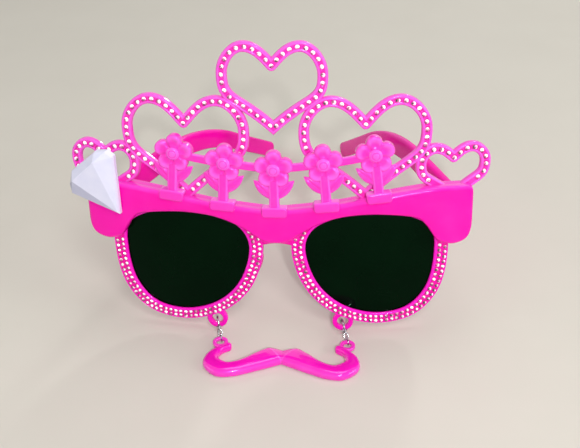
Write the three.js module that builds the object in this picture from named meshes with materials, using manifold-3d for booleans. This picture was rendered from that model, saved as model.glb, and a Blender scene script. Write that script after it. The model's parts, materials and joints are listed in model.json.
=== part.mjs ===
// Party sunglasses with a tiara of five hearts, a flower crest, a gem and a moustache on two chains.
// Millimetres, +Z up, the front faces -Y. Right and left are as seen from the front, so +X is right.
// The glasses stand on the floor on their open temples and on the first ring of each chain.

import * as THREE from 'three';
import { ConvexGeometry } from 'three/addons/geometries/ConvexGeometry.js';
import { mergeVertices } from 'three/addons/utils/BufferGeometryUtils.js';
import Module from 'manifold-3d';

const wasm = await Module();
wasm.setup();

const degrees = Math.PI / 180;
const tipTurns = [30 * degrees, 58 * degrees, 80 * degrees]; // where the sections of a rounded end lie

// Clearances
const seatGap = 0.3; // between two pieces that are glued, clipped or seated
const hingeGap = 0.3; // between neighbouring knuckles, and around the hinge screw
const chainGap = 0.15; // between a chain wire and what it hangs on
const pivotGap = 0.25; // around the last link on the moustache's eyelet

// The front is drawn flat, with s across, h up from the floor and d back from the hearts' face,
// and is then bent round an upright cylinder that stands behind it.
const bendRadius = 306;

// Lens opening of one side, in s and h
const lensOpening = [
  [11.0, 39.0], [14.5, 46.2], [24.0, 50.6], [38.0, 51.6], [52.0, 49.9], [59.6, 44.4],
  [60.8, 33.0], [57.8, 19.5], [50.5, 11.5], [38.0, 9.2], [24.5, 13.5], [15.0, 23.5],
];
const lensThickness = 1.8;
const lensTuck = 0.9; // how far the lens reaches into its groove
const lensDome = 0.9;
const lensSetback = 1.3; // from the rim's face to the groove
const lensSteps = 36;

// Rims
const rimWidth = 5.4;
const rimFoot = 4.5; // the width at its lowest place
const rimDepth = 4.0;
const rimEdge = 0.5;

// Brow bar, a raised cover over the top of the rims
const browDepth = 3.7;
const browEdge = 0.9;
const browTop = [[0, 54.9], [24, 57.7], [45, 61.4], [60, 63.1], [74.3, 63.0]];
const browBottom = [
  [0, 41.6], [4.5, 42.2], [12, 47.2], [19, 50.6], [27, 52.6], [38, 53.1],
  [51.7, 51.4], [56.4, 48.2], [60.6, 41.8], [64, 39.8], [68, 39.4], [72.2, 41.2], [74.3, 45.5],
];
const browReach = 74.3;
const browStep = 4.8;

// Upper bar of the frame behind the brow bar, the bridge and the end pieces
const barInset = 2.4;
const barTopInset = 0.4;
const bridgeBottom = 39.6;
const bridgeTop = 47;
const bridgeSag = 2.2; // how much lower its underside is at both ends
const bridgeReach = 9;
const bridgeDepth = 5.0;
const endInner = 62.6;
const endOuter = 73.7;
const endBottom = 43.2;
const endTop = 56.8;
const endBack = 8.4;
const blockEdge = 0.8; // on the bridge and the end pieces
const viewDepth = 12; // behind the rims, kept free of the nose pads

// Nose pads behind the inner sides of the rims
const padPlace = [9.6, 27.5, 5.4];
const padSize = [2.3, 7.0, 3.6];
const padTilt = 24 * degrees;

// Hearts of the tiara: middle, top, tip and half width of the outer edge, side and notch below the top
const heartStrip = 4.0;
const heartDepth = 2.4;
const heartEdge = 0.5;
const notchSteps = 16; // round the circle that ends a heart's notch
const heartLobe = 0.56; // place of a lobe's top, as a share of the half width
const heartKnee = [0.72, 0.55]; // across and below the side, where the flank starts, as shares of it
const heartFlank = [0.85, 1.25]; // slopes of the flank at the knee and at the tip, as shares of its mean
const hearts = [
  { s: 0, top: 119.4, tip: 83.8, half: 20.5, side: 12.4, notch: 7.0, steps: 24 },
  { s: 34.0, top: 98.8, tip: 56.4, half: 24.8, side: 13.5, notch: 8.9, steps: 26 },
  { s: 67.3, top: 79.1, tip: 54.6, half: 14.4, side: 7.8, notch: 3.8, steps: 18 },
];

// Flower crest in front of the tiara
const flowerCount = 5;
const flowerPitch = 19.4;
const flowerRise = 17.2; // blossom centre above the brow bar
const petalCount = 5;
const petalRadius = 3.1;
const petalSpread = 4.3; // from the blossom's centre to a petal's
const petalSteps = 6;
const buttonRadius = 2.5;
const buttonEdge = 0.6;
const buttonSides = 14;
const stemWidth = 3.8;
const leafLength = 10.4;
const leafWidth = 4.4;
const leafTilt = 47 * degrees;
const leafRise = 5.6;
const leafRoot = 1.5; // how far a leaf starts inside the stem
const leafSink = 0.3; // how much thinner a leaf is than its stem, on each face
const footWidth = 9.6;
const footHeight = 2.4;
const footLap = 1.6; // how far the foot laps down over the brow bar's face
const crestFront = -5.8;
const crestBack = -1.4;
const crestDepth = 3.4;
const crestEdge = 0.5;
const railHeight = 3.0;
const railDepth = 2.2;
const railEdge = 0.4;
const railSteps = 16;

// Gem on the left end of the brow bar, drawn upright round the middle of its girdle and then tilted
const gemPlace = [4.5 - browReach, 68.7];
const gemTilt = 32 * degrees;
const gemOutline = [
  [-7.5, 3.8], [6.6, 5.6], [10.6, 3.6], [12.2, 0.5], [0, -20.0], [-13.4, -3.9], [-11.9, -0.3],
];
const gemStandoff = 0.25; // clears the bar's curve at the ends of the gem's flat back
const gemWall = 1.9;
const gemShoulder = 2.9; // above this the facets start, drawn in a little
const gemShoulderSize = 0.95;
const gemRidge = [[-7.7, 0.4], [5.0, 2.5]]; // where the great facets meet the crown
const gemHeight = 5.8;

// Loops under the rims
const loopPlace = [25.3, 5.4];
const loopOuter = 4.15;
const loopStrip = 1.9;
const loopDepth = 2.4;
const loopSetback = 0.3; // from the rim's face
const loopEdge = 0.5;
const loopSteps = 16;

// Temples
const templeThickness = 3.8;
const templeHeight = 10.4;
const templeTipHeight = 7.6;
const templeTipThickness = 3.0;
const templeStraight = 34;
const templeArc = 60;
const templeTail = 44;
const templeRise = 5 * degrees;
const templeTurn = 30 * degrees;
const templeRest = 22 * degrees; // inward of straight back, as the glasses stand
const templeOpenStop = 3 * degrees;
const templeSteps = 22;

// Hinges
const hingeAcross = 68.4;
const hingeHeight = 50.0;
const knuckleRadius = 1.5;
const knuckleHeight = 2.2;
const screwRadius = 0.7;
const screwHead = 1.25;
const screwHeadHeight = 0.6;
const leafPlate = 1.0;
const frontLeafReach = 5.2;
const templeLeafReach = 9.5;
const frontLeafLap = 0.6; // past the screw's axis
const knuckleSides = 16;
const screwSides = 12;

// Chains
const ringInner = 2.4;
const ringWire = 0.8;
const linkWire = 0.55;
const linkLength = 1.9; // inside
const linkWidth = 1.1; // inside
const hookWire = 0.6;
const hookLength = 3.2;
const hookWidth = 2.1;
const chainYaw = 16 * degrees;
const ringPitch = 0 * degrees;
const linkPitch = [-25 * degrees, 35 * degrees, 50 * degrees];

// Moustache
const eyeletOuter = 3.1;
const eyeletStrip = 1.5;
const eyeletDepth = 1.4;
const eyeletEdge = 0.3;
const eyeletSteps = 16;
const moustacheDepth = 3.7;
// Both edges from the middle to a tip, measured from the line through both eyelets
const moustacheInner = [
  [0, -3.8], [5.2, -2.8], [9.5, -5.4], [15.2, -10.0],
  [20.2, -12.0], [24.6, -9.3], [23.7, -5.3], [20.9, -3.2],
];
const moustacheOuter = [
  [0, -10.6], [6.0, -13.5], [12.0, -16.1], [18.0, -18.3],
  [24.6, -18.5], [30.2, -13.2], [29.5, -7.1], [23.1, -0.9],
];
const moustacheSteps = 24; // along each half
const moustacheDent = 1.0; // of the wedge between the notch and the two bumps

// Colours as seen on the glasses
const pink = { color: 0xff12b4, roughness: 0.24, metalness: 0 };
const deepPink = { color: 0xf600a8, roughness: 0.2, metalness: 0 };
const lensGreen = { color: 0x04150b, roughness: 0.08, metalness: 0 };
const pearl = { color: 0xdcd9ee, roughness: 0.3, metalness: 0 };
const chrome = { color: 0xc9ccd0, roughness: 0.15, metalness: 1 };

// Maps a flat place on the front to its place on the bent front
function bend(s, h, d) {
  const turn = s / bendRadius;
  const radius = bendRadius - d;
  return new THREE.Vector3(radius * Math.sin(turn), bendRadius - radius * Math.cos(turn), h);
}

function flat(x, y, z) {
  return new THREE.Vector3(x, y, z);
}

// Builds a closed geometry from points and triangles, with its faces turned outward
function solid(points, triangles) {
  let volume = 0;
  for (const [a, b, c] of triangles) {
    volume += points[a].dot(new THREE.Vector3().crossVectors(points[b], points[c]));
  }
  const index = triangles.flatMap(([a, b, c]) => (volume < 0 ? [a, c, b] : [a, b, c]));
  const geometry = new THREE.BufferGeometry();
  geometry.setAttribute('position', new THREE.Float32BufferAttribute(points.flatMap((p) => p.toArray()), 3));
  geometry.setIndex(index);
  return geometry;
}

// Skins a row of closed sections; a closed row joins its ends, an open one gets a cap at each end
function loft(sections, closed) {
  const count = sections[0].length;
  const points = sections.flat();
  const triangles = [];
  const rows = closed ? sections.length : sections.length - 1;
  for (let i = 0; i < rows; i += 1) {
    const next = (i + 1) % sections.length;
    for (let j = 0; j < count; j += 1) {
      const k = (j + 1) % count;
      const [a, b, c, e] = [i * count + j, i * count + k, next * count + k, next * count + j];
      triangles.push([a, b, c], [a, c, e]);
    }
  }
  if (!closed) {
    cap(points, triangles, 0, count, true);
    cap(points, triangles, (sections.length - 1) * count, count, false);
  }
  return solid(points, triangles);
}

function cap(points, triangles, start, count, first) {
  const middle = new THREE.Vector3();
  for (let j = 0; j < count; j += 1) {
    middle.addScaledVector(points[start + j], 1 / count);
  }
  const centre = points.push(middle) - 1;
  for (let j = 0; j < count; j += 1) {
    const a = start + j;
    const b = start + ((j + 1) % count);
    triangles.push(first ? [centre, b, a] : [centre, a, b]);
  }
}

// Outward mitre vectors of a closed path
function mitres(path) {
  const area = path.reduce((sum, p, i) => {
    const q = path[(i + 1) % path.length];
    return sum + p.x * q.y - q.x * p.y;
  }, 0);
  const side = area > 0 ? 1 : -1;
  return path.map((p, i) => {
    const before = path[(i + path.length - 1) % path.length];
    const after = path[(i + 1) % path.length];
    const u = p.clone().sub(before).normalize();
    const v = after.clone().sub(p).normalize();
    const n = new THREE.Vector2(u.y + v.y, -u.x - v.x).multiplyScalar(side).normalize();
    const half = Math.max(n.x * u.y * side - n.y * u.x * side, 0.35);
    return n.divideScalar(half);
  });
}

// Sweeps a profile of [outward, back] points, or one made for each outward direction, round a path
function band(path, profile, place) {
  const out = mitres(path);
  const sections = path.map((p, i) => {
    const section = typeof profile === 'function' ? profile(out[i]) : profile;
    return section.map(([n, d]) => place(p.x + out[i].x * n, p.y + out[i].y * n, d));
  });
  return loft(sections, true);
}

// A rectangle as a profile, with its front corners cut by one edge and its rear corners by another
function chamfered(left, right, front, back, edge, rearEdge = edge) {
  const frontCorners = [
    [left, front + edge], [left + edge, front], [right - edge, front], [right, front + edge],
  ];
  const rearCorners = [
    [right, back - rearEdge], [right - rearEdge, back], [left + rearEdge, back], [left, back - rearEdge],
  ];
  return [
    ...(edge > 0 ? frontCorners : [[left, front], [right, front]]),
    ...(rearEdge > 0 ? rearCorners : [[right, back], [left, back]]),
  ];
}

function circleProfile(radius, sides) {
  return Array.from({ length: sides }, (_, i) => {
    const turn = (2 * Math.PI * (i + 0.5)) / sides;
    return [radius * Math.cos(turn), radius * Math.sin(turn)];
  });
}

function circlePath(x, y, radius, steps) {
  return Array.from({ length: steps }, (_, i) => {
    const turn = (2 * Math.PI * i) / steps;
    return new THREE.Vector2(x + radius * Math.cos(turn), y + radius * Math.sin(turn));
  });
}

// Smooth curve through points, read as height over distance
function curveOver(points) {
  const curve = new THREE.SplineCurve(points.map(([x, y]) => new THREE.Vector2(x, y)));
  const samples = curve.getPoints(120);
  return (x) => {
    const i = Math.max(1, samples.findIndex((p, k) => k > 0 && p.x >= x));
    const a = samples[i - 1];
    const b = samples[i];
    const share = THREE.MathUtils.clamp((x - a.x) / (b.x - a.x), 0, 1);
    return a.y + (b.y - a.y) * share;
  };
}

// Keeps only the corner points of a geometry and joins those that fall together
function cornersOnly(geometry) {
  const bare = geometry.clone();
  bare.deleteAttribute('normal');
  bare.deleteAttribute('uv');
  return mergeVertices(bare, 1e-4);
}

function manifoldOf(geometry) {
  const merged = cornersOnly(geometry);
  const mesh = new wasm.Mesh({
    numProp: 3,
    vertProperties: new Float32Array(merged.attributes.position.array),
    triVerts: new Uint32Array(merged.index.array),
  });
  mesh.merge();
  return new wasm.Manifold(mesh);
}

function geometryOf(manifold) {
  const mesh = manifold.getMesh();
  const geometry = new THREE.BufferGeometry();
  geometry.setAttribute('position', new THREE.Float32BufferAttribute(mesh.vertProperties, mesh.numProp));
  geometry.setIndex(Array.from(mesh.triVerts));
  return geometry;
}

function join(...geometries) {
  return geometryOf(geometries.map(manifoldOf).reduce((a, b) => a.add(b)));
}

function cut(geometry, ...tools) {
  return geometryOf(tools.map(manifoldOf).reduce((a, b) => a.subtract(b), manifoldOf(geometry)));
}

function mirrored(geometry) {
  const copy = geometry.clone();
  copy.scale(-1, 1, 1);
  const index = copy.index.array;
  for (let i = 0; i < index.length; i += 3) {
    [index[i], index[i + 1]] = [index[i + 1], index[i]];
  }
  return copy;
}

// Moves the vertices of a geometry drawn flat, with its z read as d, onto the bent front
function bent(geometry) {
  const copy = cornersOnly(geometry);
  const place = copy.attributes.position;
  for (let i = 0; i < place.count; i += 1) {
    const p = bend(place.getX(i), place.getY(i), place.getZ(i));
    place.setXYZ(i, p.x, p.y, p.z);
  }
  const points = [];
  for (let i = 0; i < place.count; i += 1) {
    points.push(new THREE.Vector3().fromBufferAttribute(place, i));
  }
  const index = Array.from(copy.index.array);
  const triangles = [];
  for (let i = 0; i < index.length; i += 3) {
    triangles.push(index.slice(i, i + 3));
  }
  return solid(points, triangles);
}

function prism(shape, front, back, edge) {
  const geometry = new THREE.ExtrudeGeometry(shape, {
    depth: back - front - 2 * edge,
    bevelEnabled: edge > 0,
    bevelThickness: edge,
    bevelSize: edge,
    bevelOffset: -edge,
    bevelSegments: 1,
    curveSegments: 3,
  });
  geometry.translate(0, 0, front + edge);
  return geometry;
}

function named(name, geometry, look) {
  const shaded = geometry.clone();
  shaded.computeVertexNormals();
  const mesh = new THREE.Mesh(shaded, new THREE.MeshStandardMaterial(look));
  mesh.name = name;
  return mesh;
}

// Lens opening as an even closed path
function openingPath() {
  const curve = new THREE.CatmullRomCurve3(
    lensOpening.map(([s, h]) => new THREE.Vector3(s, h, 0)),
    true,
    'centripetal',
  );
  return curve.getSpacedPoints(lensSteps).slice(0, lensSteps).map((p) => new THREE.Vector2(p.x, p.y));
}

const browTopAt = curveOver(browTop);
const browBottomAt = curveOver(browBottom);

// Stations across the whole brow, closer together at the ends
function browStations(reach) {
  const half = [];
  for (let s = 0; s < reach - 1; s += s < 54 ? browStep : browStep / 2) {
    half.push(s);
  }
  half.push(reach - 0.4, reach);
  return [...half.slice(1).reverse().map((s) => -s), ...half];
}

// A bar between two edges that are functions of s
function browLoft(reach, topAt, bottomAt, front, back, edge, rearEdge) {
  const sections = browStations(reach).map((s) => {
    const away = Math.abs(s);
    const end = away > reach - 0.1 ? edge / 2 : 0;
    const profile = chamfered(bottomAt(away) + end, topAt(away) - end, front, back, edge, rearEdge);
    return profile.map(([h, d]) => bend(s, h, d));
  });
  return loft(sections, false);
}

function browBar(grow) {
  return browLoft(
    browReach + grow,
    (s) => browTopAt(s) + grow,
    (s) => browBottomAt(s) - grow,
    -seatGap - browDepth - grow,
    -seatGap + grow,
    browEdge,
    0,
  );
}

function upperBar(grow, front, back) {
  return browLoft(
    endOuter,
    (s) => browTopAt(s) - barTopInset + grow,
    (s) => browBottomAt(s) + barInset,
    front,
    back,
    0,
    rimEdge,
  );
}

function rim(path) {
  const grooveFront = lensSetback - seatGap;
  const grooveBack = lensSetback + lensThickness + seatGap;
  const grooveDepth = lensTuck + seatGap;
  const profile = (out) => {
    const down = Math.max(0, -out.y) / out.length();
    const width = THREE.MathUtils.lerp(rimWidth, rimFoot, down * down);
    return [
      [0, rimEdge], [rimEdge, 0], [width - rimEdge, 0], [width, rimEdge], [width, rimDepth - rimEdge],
      [width - rimEdge, rimDepth], [0, rimDepth], [0, grooveBack], [grooveDepth, grooveBack],
      [grooveDepth, grooveFront], [0, grooveFront],
    ];
  };
  return band(path, profile, bend);
}

function bridge() {
  const sections = [-1, -0.5, 0, 0.5, 1].map((share) => {
    const bottom = bridgeBottom - bridgeSag * share * share;
    const profile = chamfered(bottom, bridgeTop, 0, bridgeDepth, blockEdge);
    return profile.map(([h, d]) => bend(share * bridgeReach, h, d));
  });
  return loft(sections, false);
}

function endPiece() {
  const sections = [endInner, (endInner + endOuter) / 2, endOuter].map((s) =>
    chamfered(endBottom, endTop, rimDepth / 2, endBack, blockEdge).map(([h, d]) => bend(s, h, d)),
  );
  return loft(sections, false);
}

function loopUnderRim() {
  const path = circlePath(loopPlace[0], loopPlace[1], loopOuter - loopStrip / 2, loopSteps);
  const profile = chamfered(-loopStrip / 2, loopStrip / 2, loopSetback, loopSetback + loopDepth, loopEdge);
  return band(path, profile, bend);
}

function nosePad() {
  const pad = new THREE.SphereGeometry(1, 10, 6);
  pad.scale(padSize[0], padSize[1], padSize[2]);
  pad.rotateZ(padTilt);
  pad.translate(padPlace[0], padPlace[1], padPlace[2]);
  return bent(pad);
}

// Front frame: rims with lens grooves, upper bar, bridge, end pieces, nose pads and chain loops
function frontFrame() {
  const path = openingPath();
  const half = join(rim(path), endPiece(), loopUnderRim());
  const pad = cut(nosePad(), openingTool(path));
  return join(half, mirrored(half), pad, mirrored(pad), upperBar(0, 0, rimDepth), bridge());
}

// The space of one lens and the view through it, cut out of what stands behind the rims
function openingTool(path) {
  const sections = [rimDepth, rimDepth + viewDepth].map((d) => path.map((p) => bend(p.x, p.y, d)));
  return loft(sections, false);
}

// Lens: a domed sheet whose edge lies in the rim's groove
function lens() {
  const path = openingPath();
  const out = mitres(path);
  const middle = path.reduce((sum, p) => sum.add(p), new THREE.Vector2()).divideScalar(path.length);
  const rings = [1, 0.66, 0.33];
  const points = [];
  const triangles = [];
  for (const face of [0, lensThickness]) {
    for (const share of rings) {
      for (let i = 0; i < path.length; i += 1) {
        const x = middle.x + (path[i].x + out[i].x * lensTuck - middle.x) * share;
        const y = middle.y + (path[i].y + out[i].y * lensTuck - middle.y) * share;
        points.push(bend(x, y, lensSetback + face - lensDome * (1 - share * share)));
      }
    }
    points.push(bend(middle.x, middle.y, lensSetback + face - lensDome));
  }
  const count = path.length;
  const faceSize = rings.length * count + 1;
  for (let i = 0; i < count; i += 1) {
    const k = (i + 1) % count;
    for (const [start, flip] of [[0, false], [faceSize, true]]) {
      const face = [];
      for (let r = 0; r < rings.length - 1; r += 1) {
        const a = start + r * count;
        const b = a + count;
        face.push([a + i, a + k, b + k], [a + i, b + k, b + i]);
      }
      const last = start + (rings.length - 1) * count;
      face.push([last + i, last + k, start + rings.length * count]);
      triangles.push(...face.map(([a, b, c]) => (flip ? [a, c, b] : [a, b, c])));
    }
    triangles.push([i, faceSize + k, k], [i, faceSize + i, faceSize + k]);
  }
  return solid(points, triangles);
}

// Half of a heart's middle line, from the notch over the lobe and down to the tip
function heartHalf(heart) {
  const inset = heartStrip / 2;
  const half = heart.half - inset;
  const top = heart.top - inset;
  const side = heart.top - heart.side;
  const notch = heart.top - heart.notch - inset;
  const tip = heart.tip + inset * 1.5;
  const path = new THREE.Path();
  const lobe = half * heartLobe;
  path.moveTo(0, notch);
  path.bezierCurveTo(lobe * 0.25, notch + (top - notch) * 0.4, lobe * 0.55, top, lobe, top);
  path.bezierCurveTo((lobe + half) / 2, top, half, (top + side) / 2, half, side);
  const knee = new THREE.Vector2(half * heartKnee[0], side - half * heartKnee[1]);
  const third = knee.x / 3;
  const [drop, lift] = heartFlank.map((share) => share * (knee.y - tip) / 3);
  path.bezierCurveTo(half, (side + knee.y) / 2, knee.x + third, knee.y + drop, knee.x, knee.y);
  path.bezierCurveTo(knee.x - third, knee.y - drop, third, tip + lift, 0, tip);
  return path.getSpacedPoints(heart.steps);
}

function heartPath(heart) {
  const half = heartHalf(heart);
  const other = half.slice(1, -1).reverse().map((p) => new THREE.Vector2(-p.x, p.y));
  return [...half, ...other].map((p) => p.add(new THREE.Vector2(heart.s, 0)));
}

// Takes off the point that a heart's strip makes inside its notch, and leaves a round end
function notchTool(heart) {
  const radius = heartStrip / 2;
  const notch = heart.top - heart.notch - radius;
  const below = boxShape(-radius, radius, notch - 3 * radius, notch - radius / 2);
  const point = prism(below, -1, heartDepth + 1, 0);
  const round = prism(new THREE.Shape(circlePath(0, notch, radius, notchSteps)), -2, heartDepth + 2, 0);
  const tool = cut(point, round);
  tool.translate(heart.s, 0, 0);
  return bent(tool);
}

// Tiara: five linked hearts whose feet stand on the frame's upper bar
function tiara() {
  const profile = chamfered(-heartStrip / 2, heartStrip / 2, 0, heartDepth, heartEdge, 0);
  const bands = hearts.map((heart) => cut(band(heartPath(heart), profile, bend), notchTool(heart)));
  const sides = bands.slice(1).map(mirrored);
  return cut(join(...bands, ...sides), upperBar(seatGap, -1, rimDepth + 1));
}

// Outline of five overlapping round petals
function blossomShape() {
  const steps = petalCount * petalSteps;
  const points = Array.from({ length: steps }, (_, i) => {
    const turn = Math.PI / 2 + (2 * Math.PI * i) / steps;
    const off = ((i + petalSteps / 2) % petalSteps - petalSteps / 2) * ((2 * Math.PI) / steps);
    const aside = petalSpread * Math.sin(off);
    const radius = petalSpread * Math.cos(off) + Math.sqrt(petalRadius ** 2 - aside ** 2);
    return new THREE.Vector2(radius * Math.cos(turn), flowerRise + radius * Math.sin(turn));
  });
  return new THREE.Shape(points);
}

function leafShape(side) {
  const shape = new THREE.Shape();
  const along = new THREE.Vector2(side * Math.sin(leafTilt), Math.cos(leafTilt));
  const across = new THREE.Vector2(along.y, -along.x);
  const at = (u, v) => new THREE.Vector2(0, leafRise).addScaledVector(along, u).addScaledVector(across, v);
  const start = at(-leafRoot, 0);
  const end = at(leafLength, 0);
  const [over, under] = [at(leafLength * 0.45, leafWidth), at(leafLength * 0.45, -leafWidth)];
  shape.moveTo(start.x, start.y);
  shape.quadraticCurveTo(over.x, over.y, end.x, end.y);
  shape.quadraticCurveTo(under.x, under.y, start.x, start.y);
  return shape;
}

function boxShape(left, right, bottom, top) {
  return new THREE.Shape([
    new THREE.Vector2(left, bottom), new THREE.Vector2(right, bottom),
    new THREE.Vector2(right, top), new THREE.Vector2(left, top),
  ]);
}

// One flower: stem, two leaves, blossom with a button, and a foot that laps over the brow bar
function flower(s) {
  const front = crestBack - crestDepth;
  const button = new THREE.Shape(circlePath(0, flowerRise, buttonRadius, buttonSides));
  const pieces = [
    prism(boxShape(-stemWidth / 2, stemWidth / 2, 0, flowerRise - petalSpread), front, crestBack, crestEdge),
    prism(blossomShape(), front, crestBack, crestEdge),
    prism(button, crestFront, crestBack - 1, buttonEdge),
    prism(leafShape(1), front + leafSink, crestBack - leafSink, 0),
    prism(leafShape(-1), front + leafSink, crestBack - leafSink, 0),
    prism(boxShape(-footWidth / 2, footWidth / 2, -footLap, footHeight), crestFront, crestBack, crestEdge),
  ];
  const base = browTopAt(Math.abs(s));
  const slope = Math.atan2(browTopAt(Math.abs(s) + 1) - browTopAt(Math.abs(s)), 1) * Math.sign(s);
  return pieces.map((piece) => {
    piece.rotateZ(slope * 0.5);
    piece.translate(s, base, 0);
    return bent(piece);
  });
}

// Crest: five flowers joined by a rail, seated on the brow bar
function crest() {
  const last = ((flowerCount - 1) / 2) * flowerPitch;
  const places = Array.from({ length: flowerCount }, (_, i) => i * flowerPitch - last);
  const middle = crestBack - crestDepth / 2;
  const [front, back] = [middle - railDepth / 2, middle + railDepth / 2];
  const rail = Array.from({ length: railSteps + 1 }, (_, i) => {
    const s = THREE.MathUtils.lerp(-last, last, i / railSteps);
    const h = browTopAt(Math.abs(s)) + flowerRise;
    const profile = chamfered(h - railHeight / 2, h + railHeight / 2, front, back, railEdge);
    return profile.map(([y, d]) => bend(s, y, d));
  });
  const body = join(...places.flatMap(flower), loft(rail, false));
  return cut(body, browBar(seatGap));
}

// Gem: a brilliant seen from its side; its flat facets are the hull of its corners
function gem() {
  const levels = [[1, gemStandoff], [1, gemWall], [gemShoulderSize, gemShoulder]];
  const corners = levels.flatMap(([size, rise]) => gemOutline.map(([x, y]) => [x * size, y * size, rise]));
  corners.push(...gemRidge.map(([x, y]) => [x, y, gemHeight]));
  const face = bend(gemPlace[0], gemPlace[1], -2 * seatGap - browDepth);
  const points = corners.map(([x, y, rise]) => {
    const p = new THREE.Vector2(x, y).rotateAround(new THREE.Vector2(), gemTilt);
    return new THREE.Vector3(p.x, -rise, p.y)
      .applyAxisAngle(new THREE.Vector3(0, 0, 1), gemPlace[0] / bendRadius)
      .add(face);
  });
  return cornersOnly(new ConvexGeometry(points));
}

// Hinge place: the screw's axis stands behind the end piece's rear face
const hingeBack = endBack + seatGap + knuckleRadius;
const templeInside = knuckleRadius + 0.4;
const endTurn = hingeAcross / bendRadius;
const buttGap = (templeInside + templeThickness) * Math.sin(endTurn - templeOpenStop) + seatGap;
const leafHeight = 3 * knuckleHeight + 2 * hingeGap;

function cylinderUp(radius, bottom, top, sides) {
  const cylinder = new THREE.CylinderGeometry(radius, radius, top - bottom, sides);
  cylinder.rotateX(Math.PI / 2);
  cylinder.translate(0, 0, (bottom + top) / 2);
  return cylinder;
}

function block(x0, x1, y0, y1, z0, z1) {
  const box = new THREE.BoxGeometry(x1 - x0, y1 - y0, z1 - z0);
  box.translate((x0 + x1) / 2, (y0 + y1) / 2, (z0 + z1) / 2);
  return box;
}

function screwHole() {
  return cylinderUp(screwRadius + hingeGap, -leafHeight, leafHeight, screwSides);
}

// Front leaf: a plate on the end piece with an upper and a lower knuckle
function frontLeaf() {
  const half = leafHeight / 2;
  const free = knuckleHeight / 2 + hingeGap;
  const plate = block(-frontLeafReach, frontLeafLap, -knuckleRadius, -knuckleRadius + leafPlate, -half, half);
  const clear = cylinderUp(knuckleRadius + hingeGap, -free, free, knuckleSides);
  const upper = cylinderUp(knuckleRadius, free, half, knuckleSides);
  const lower = cylinderUp(knuckleRadius, -half, -free, knuckleSides);
  return cut(join(cut(plate, clear), upper, lower), screwHole());
}

// Temple leaf: a plate on the temple's inner face with the middle knuckle
function templeLeaf() {
  const right = templeInside - seatGap;
  const left = right - leafPlate;
  const half = leafHeight / 2;
  const middle = knuckleHeight / 2;
  const plate = block(left, right, knuckleRadius + hingeGap, templeLeafReach, -half, half);
  const neck = block(left, right, 0, knuckleRadius + 2 * hingeGap, -middle, middle);
  const knuckle = cylinderUp(knuckleRadius, -middle, middle, knuckleSides);
  return cut(join(plate, neck, knuckle), screwHole());
}

function hingeScrew() {
  const half = leafHeight / 2 + seatGap;
  const end = half + screwHeadHeight;
  const profile = [
    [0, -end], [screwHead, -end], [screwHead, -half], [screwRadius, -half],
    [screwRadius, half], [screwHead, half], [screwHead, end], [0, end],
  ];
  const screw = new THREE.LatheGeometry(profile.map(([x, y]) => new THREE.Vector2(x, y)), screwSides);
  screw.rotateX(Math.PI / 2);
  return geometryOf(manifoldOf(screw));
}

// Middle line of a temple, as distance back and height, with its downward angle
function templeLine() {
  const length = templeStraight + templeArc + templeTail;
  const start = -knuckleRadius - seatGap + buttGap;
  const line = [];
  let back = start;
  let up = 0;
  for (let i = 0; i <= templeSteps; i += 1) {
    const along = (length * i) / templeSteps;
    const bendShare = THREE.MathUtils.clamp((along - templeStraight) / templeArc, 0, 1);
    const angle = -templeRise + templeTurn * bendShare;
    line.push({ back, up, angle, share: i / templeSteps });
    back += (length / templeSteps) * Math.cos(angle);
    up -= (length / templeSteps) * Math.sin(angle);
  }
  return line;
}

function templeSize(share) {
  const taper = THREE.MathUtils.smoothstep(share, 0, 1);
  return {
    height: THREE.MathUtils.lerp(templeHeight, templeTipHeight, taper),
    thickness: THREE.MathUtils.lerp(templeThickness, templeTipThickness, taper),
  };
}

// Temple: a tapered arm that arches back and down to a rounded tip
function temple() {
  const line = templeLine();
  const tipRadius = templeTipHeight / 2;
  const sections = line.map((point) => templeSection(point, 1));
  sections[0] = templeSection({ ...line[0], angle: 0 }, 1);
  const tip = line[line.length - 1];
  for (const turn of tipTurns) {
    const reach = tipRadius * Math.sin(turn);
    const point = {
      ...tip,
      back: tip.back + reach * Math.cos(tip.angle),
      up: tip.up - reach * Math.sin(tip.angle),
    };
    sections.push(templeSection(point, Math.cos(turn)));
  }
  return loft(sections, false);
}

function templeSection(point, squeeze) {
  const { height, thickness } = templeSize(point.share);
  const half = (height / 2) * squeeze;
  const edge = Math.min(1.2, half * 0.6);
  return chamfered(-half, half, templeInside, templeInside + thickness, edge).map(
    ([up, out]) =>
      new THREE.Vector3(out, point.back + up * Math.sin(point.angle), point.up + up * Math.cos(point.angle)),
  );
}

// Standing pose: the lean at which the ring under each loop and both temple tips touch the floor
const barRadius = loopOuter - loopStrip / 2;
const barSpot = bend(loopPlace[0], loopPlace[1] - barRadius, loopSetback + loopDepth / 2);
const barHalf = Math.hypot(loopStrip, loopDepth) / 2;
const ringOuter = ringInner + ringWire;
const barHeight = ringOuter - (ringInner - chainGap - barHalf);

function standing() {
  const line = templeLine();
  const tip = line[line.length - 1];
  const hinge = bend(hingeAcross, hingeHeight, hingeBack);
  const tipOut = templeInside + templeTipThickness / 2;
  const tipBack = hinge.y + tip.back * Math.cos(templeRest) + tipOut * Math.sin(templeRest);
  const across = new THREE.Vector2(tipBack - barSpot.y, hingeHeight + tip.up - barSpot.z);
  const lean = across.angle() - Math.asin((templeTipHeight / 2 - barHeight) / across.length());
  const lift = barHeight - barSpot.z * Math.cos(lean) + barSpot.y * Math.sin(lean);
  return { lean, lift };
}

const { lean, lift } = standing();

function onFloor(point) {
  return new THREE.Vector3(
    point.x,
    point.y * Math.cos(lean) + point.z * Math.sin(lean),
    point.z * Math.cos(lean) - point.y * Math.sin(lean) + lift,
  );
}

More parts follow.
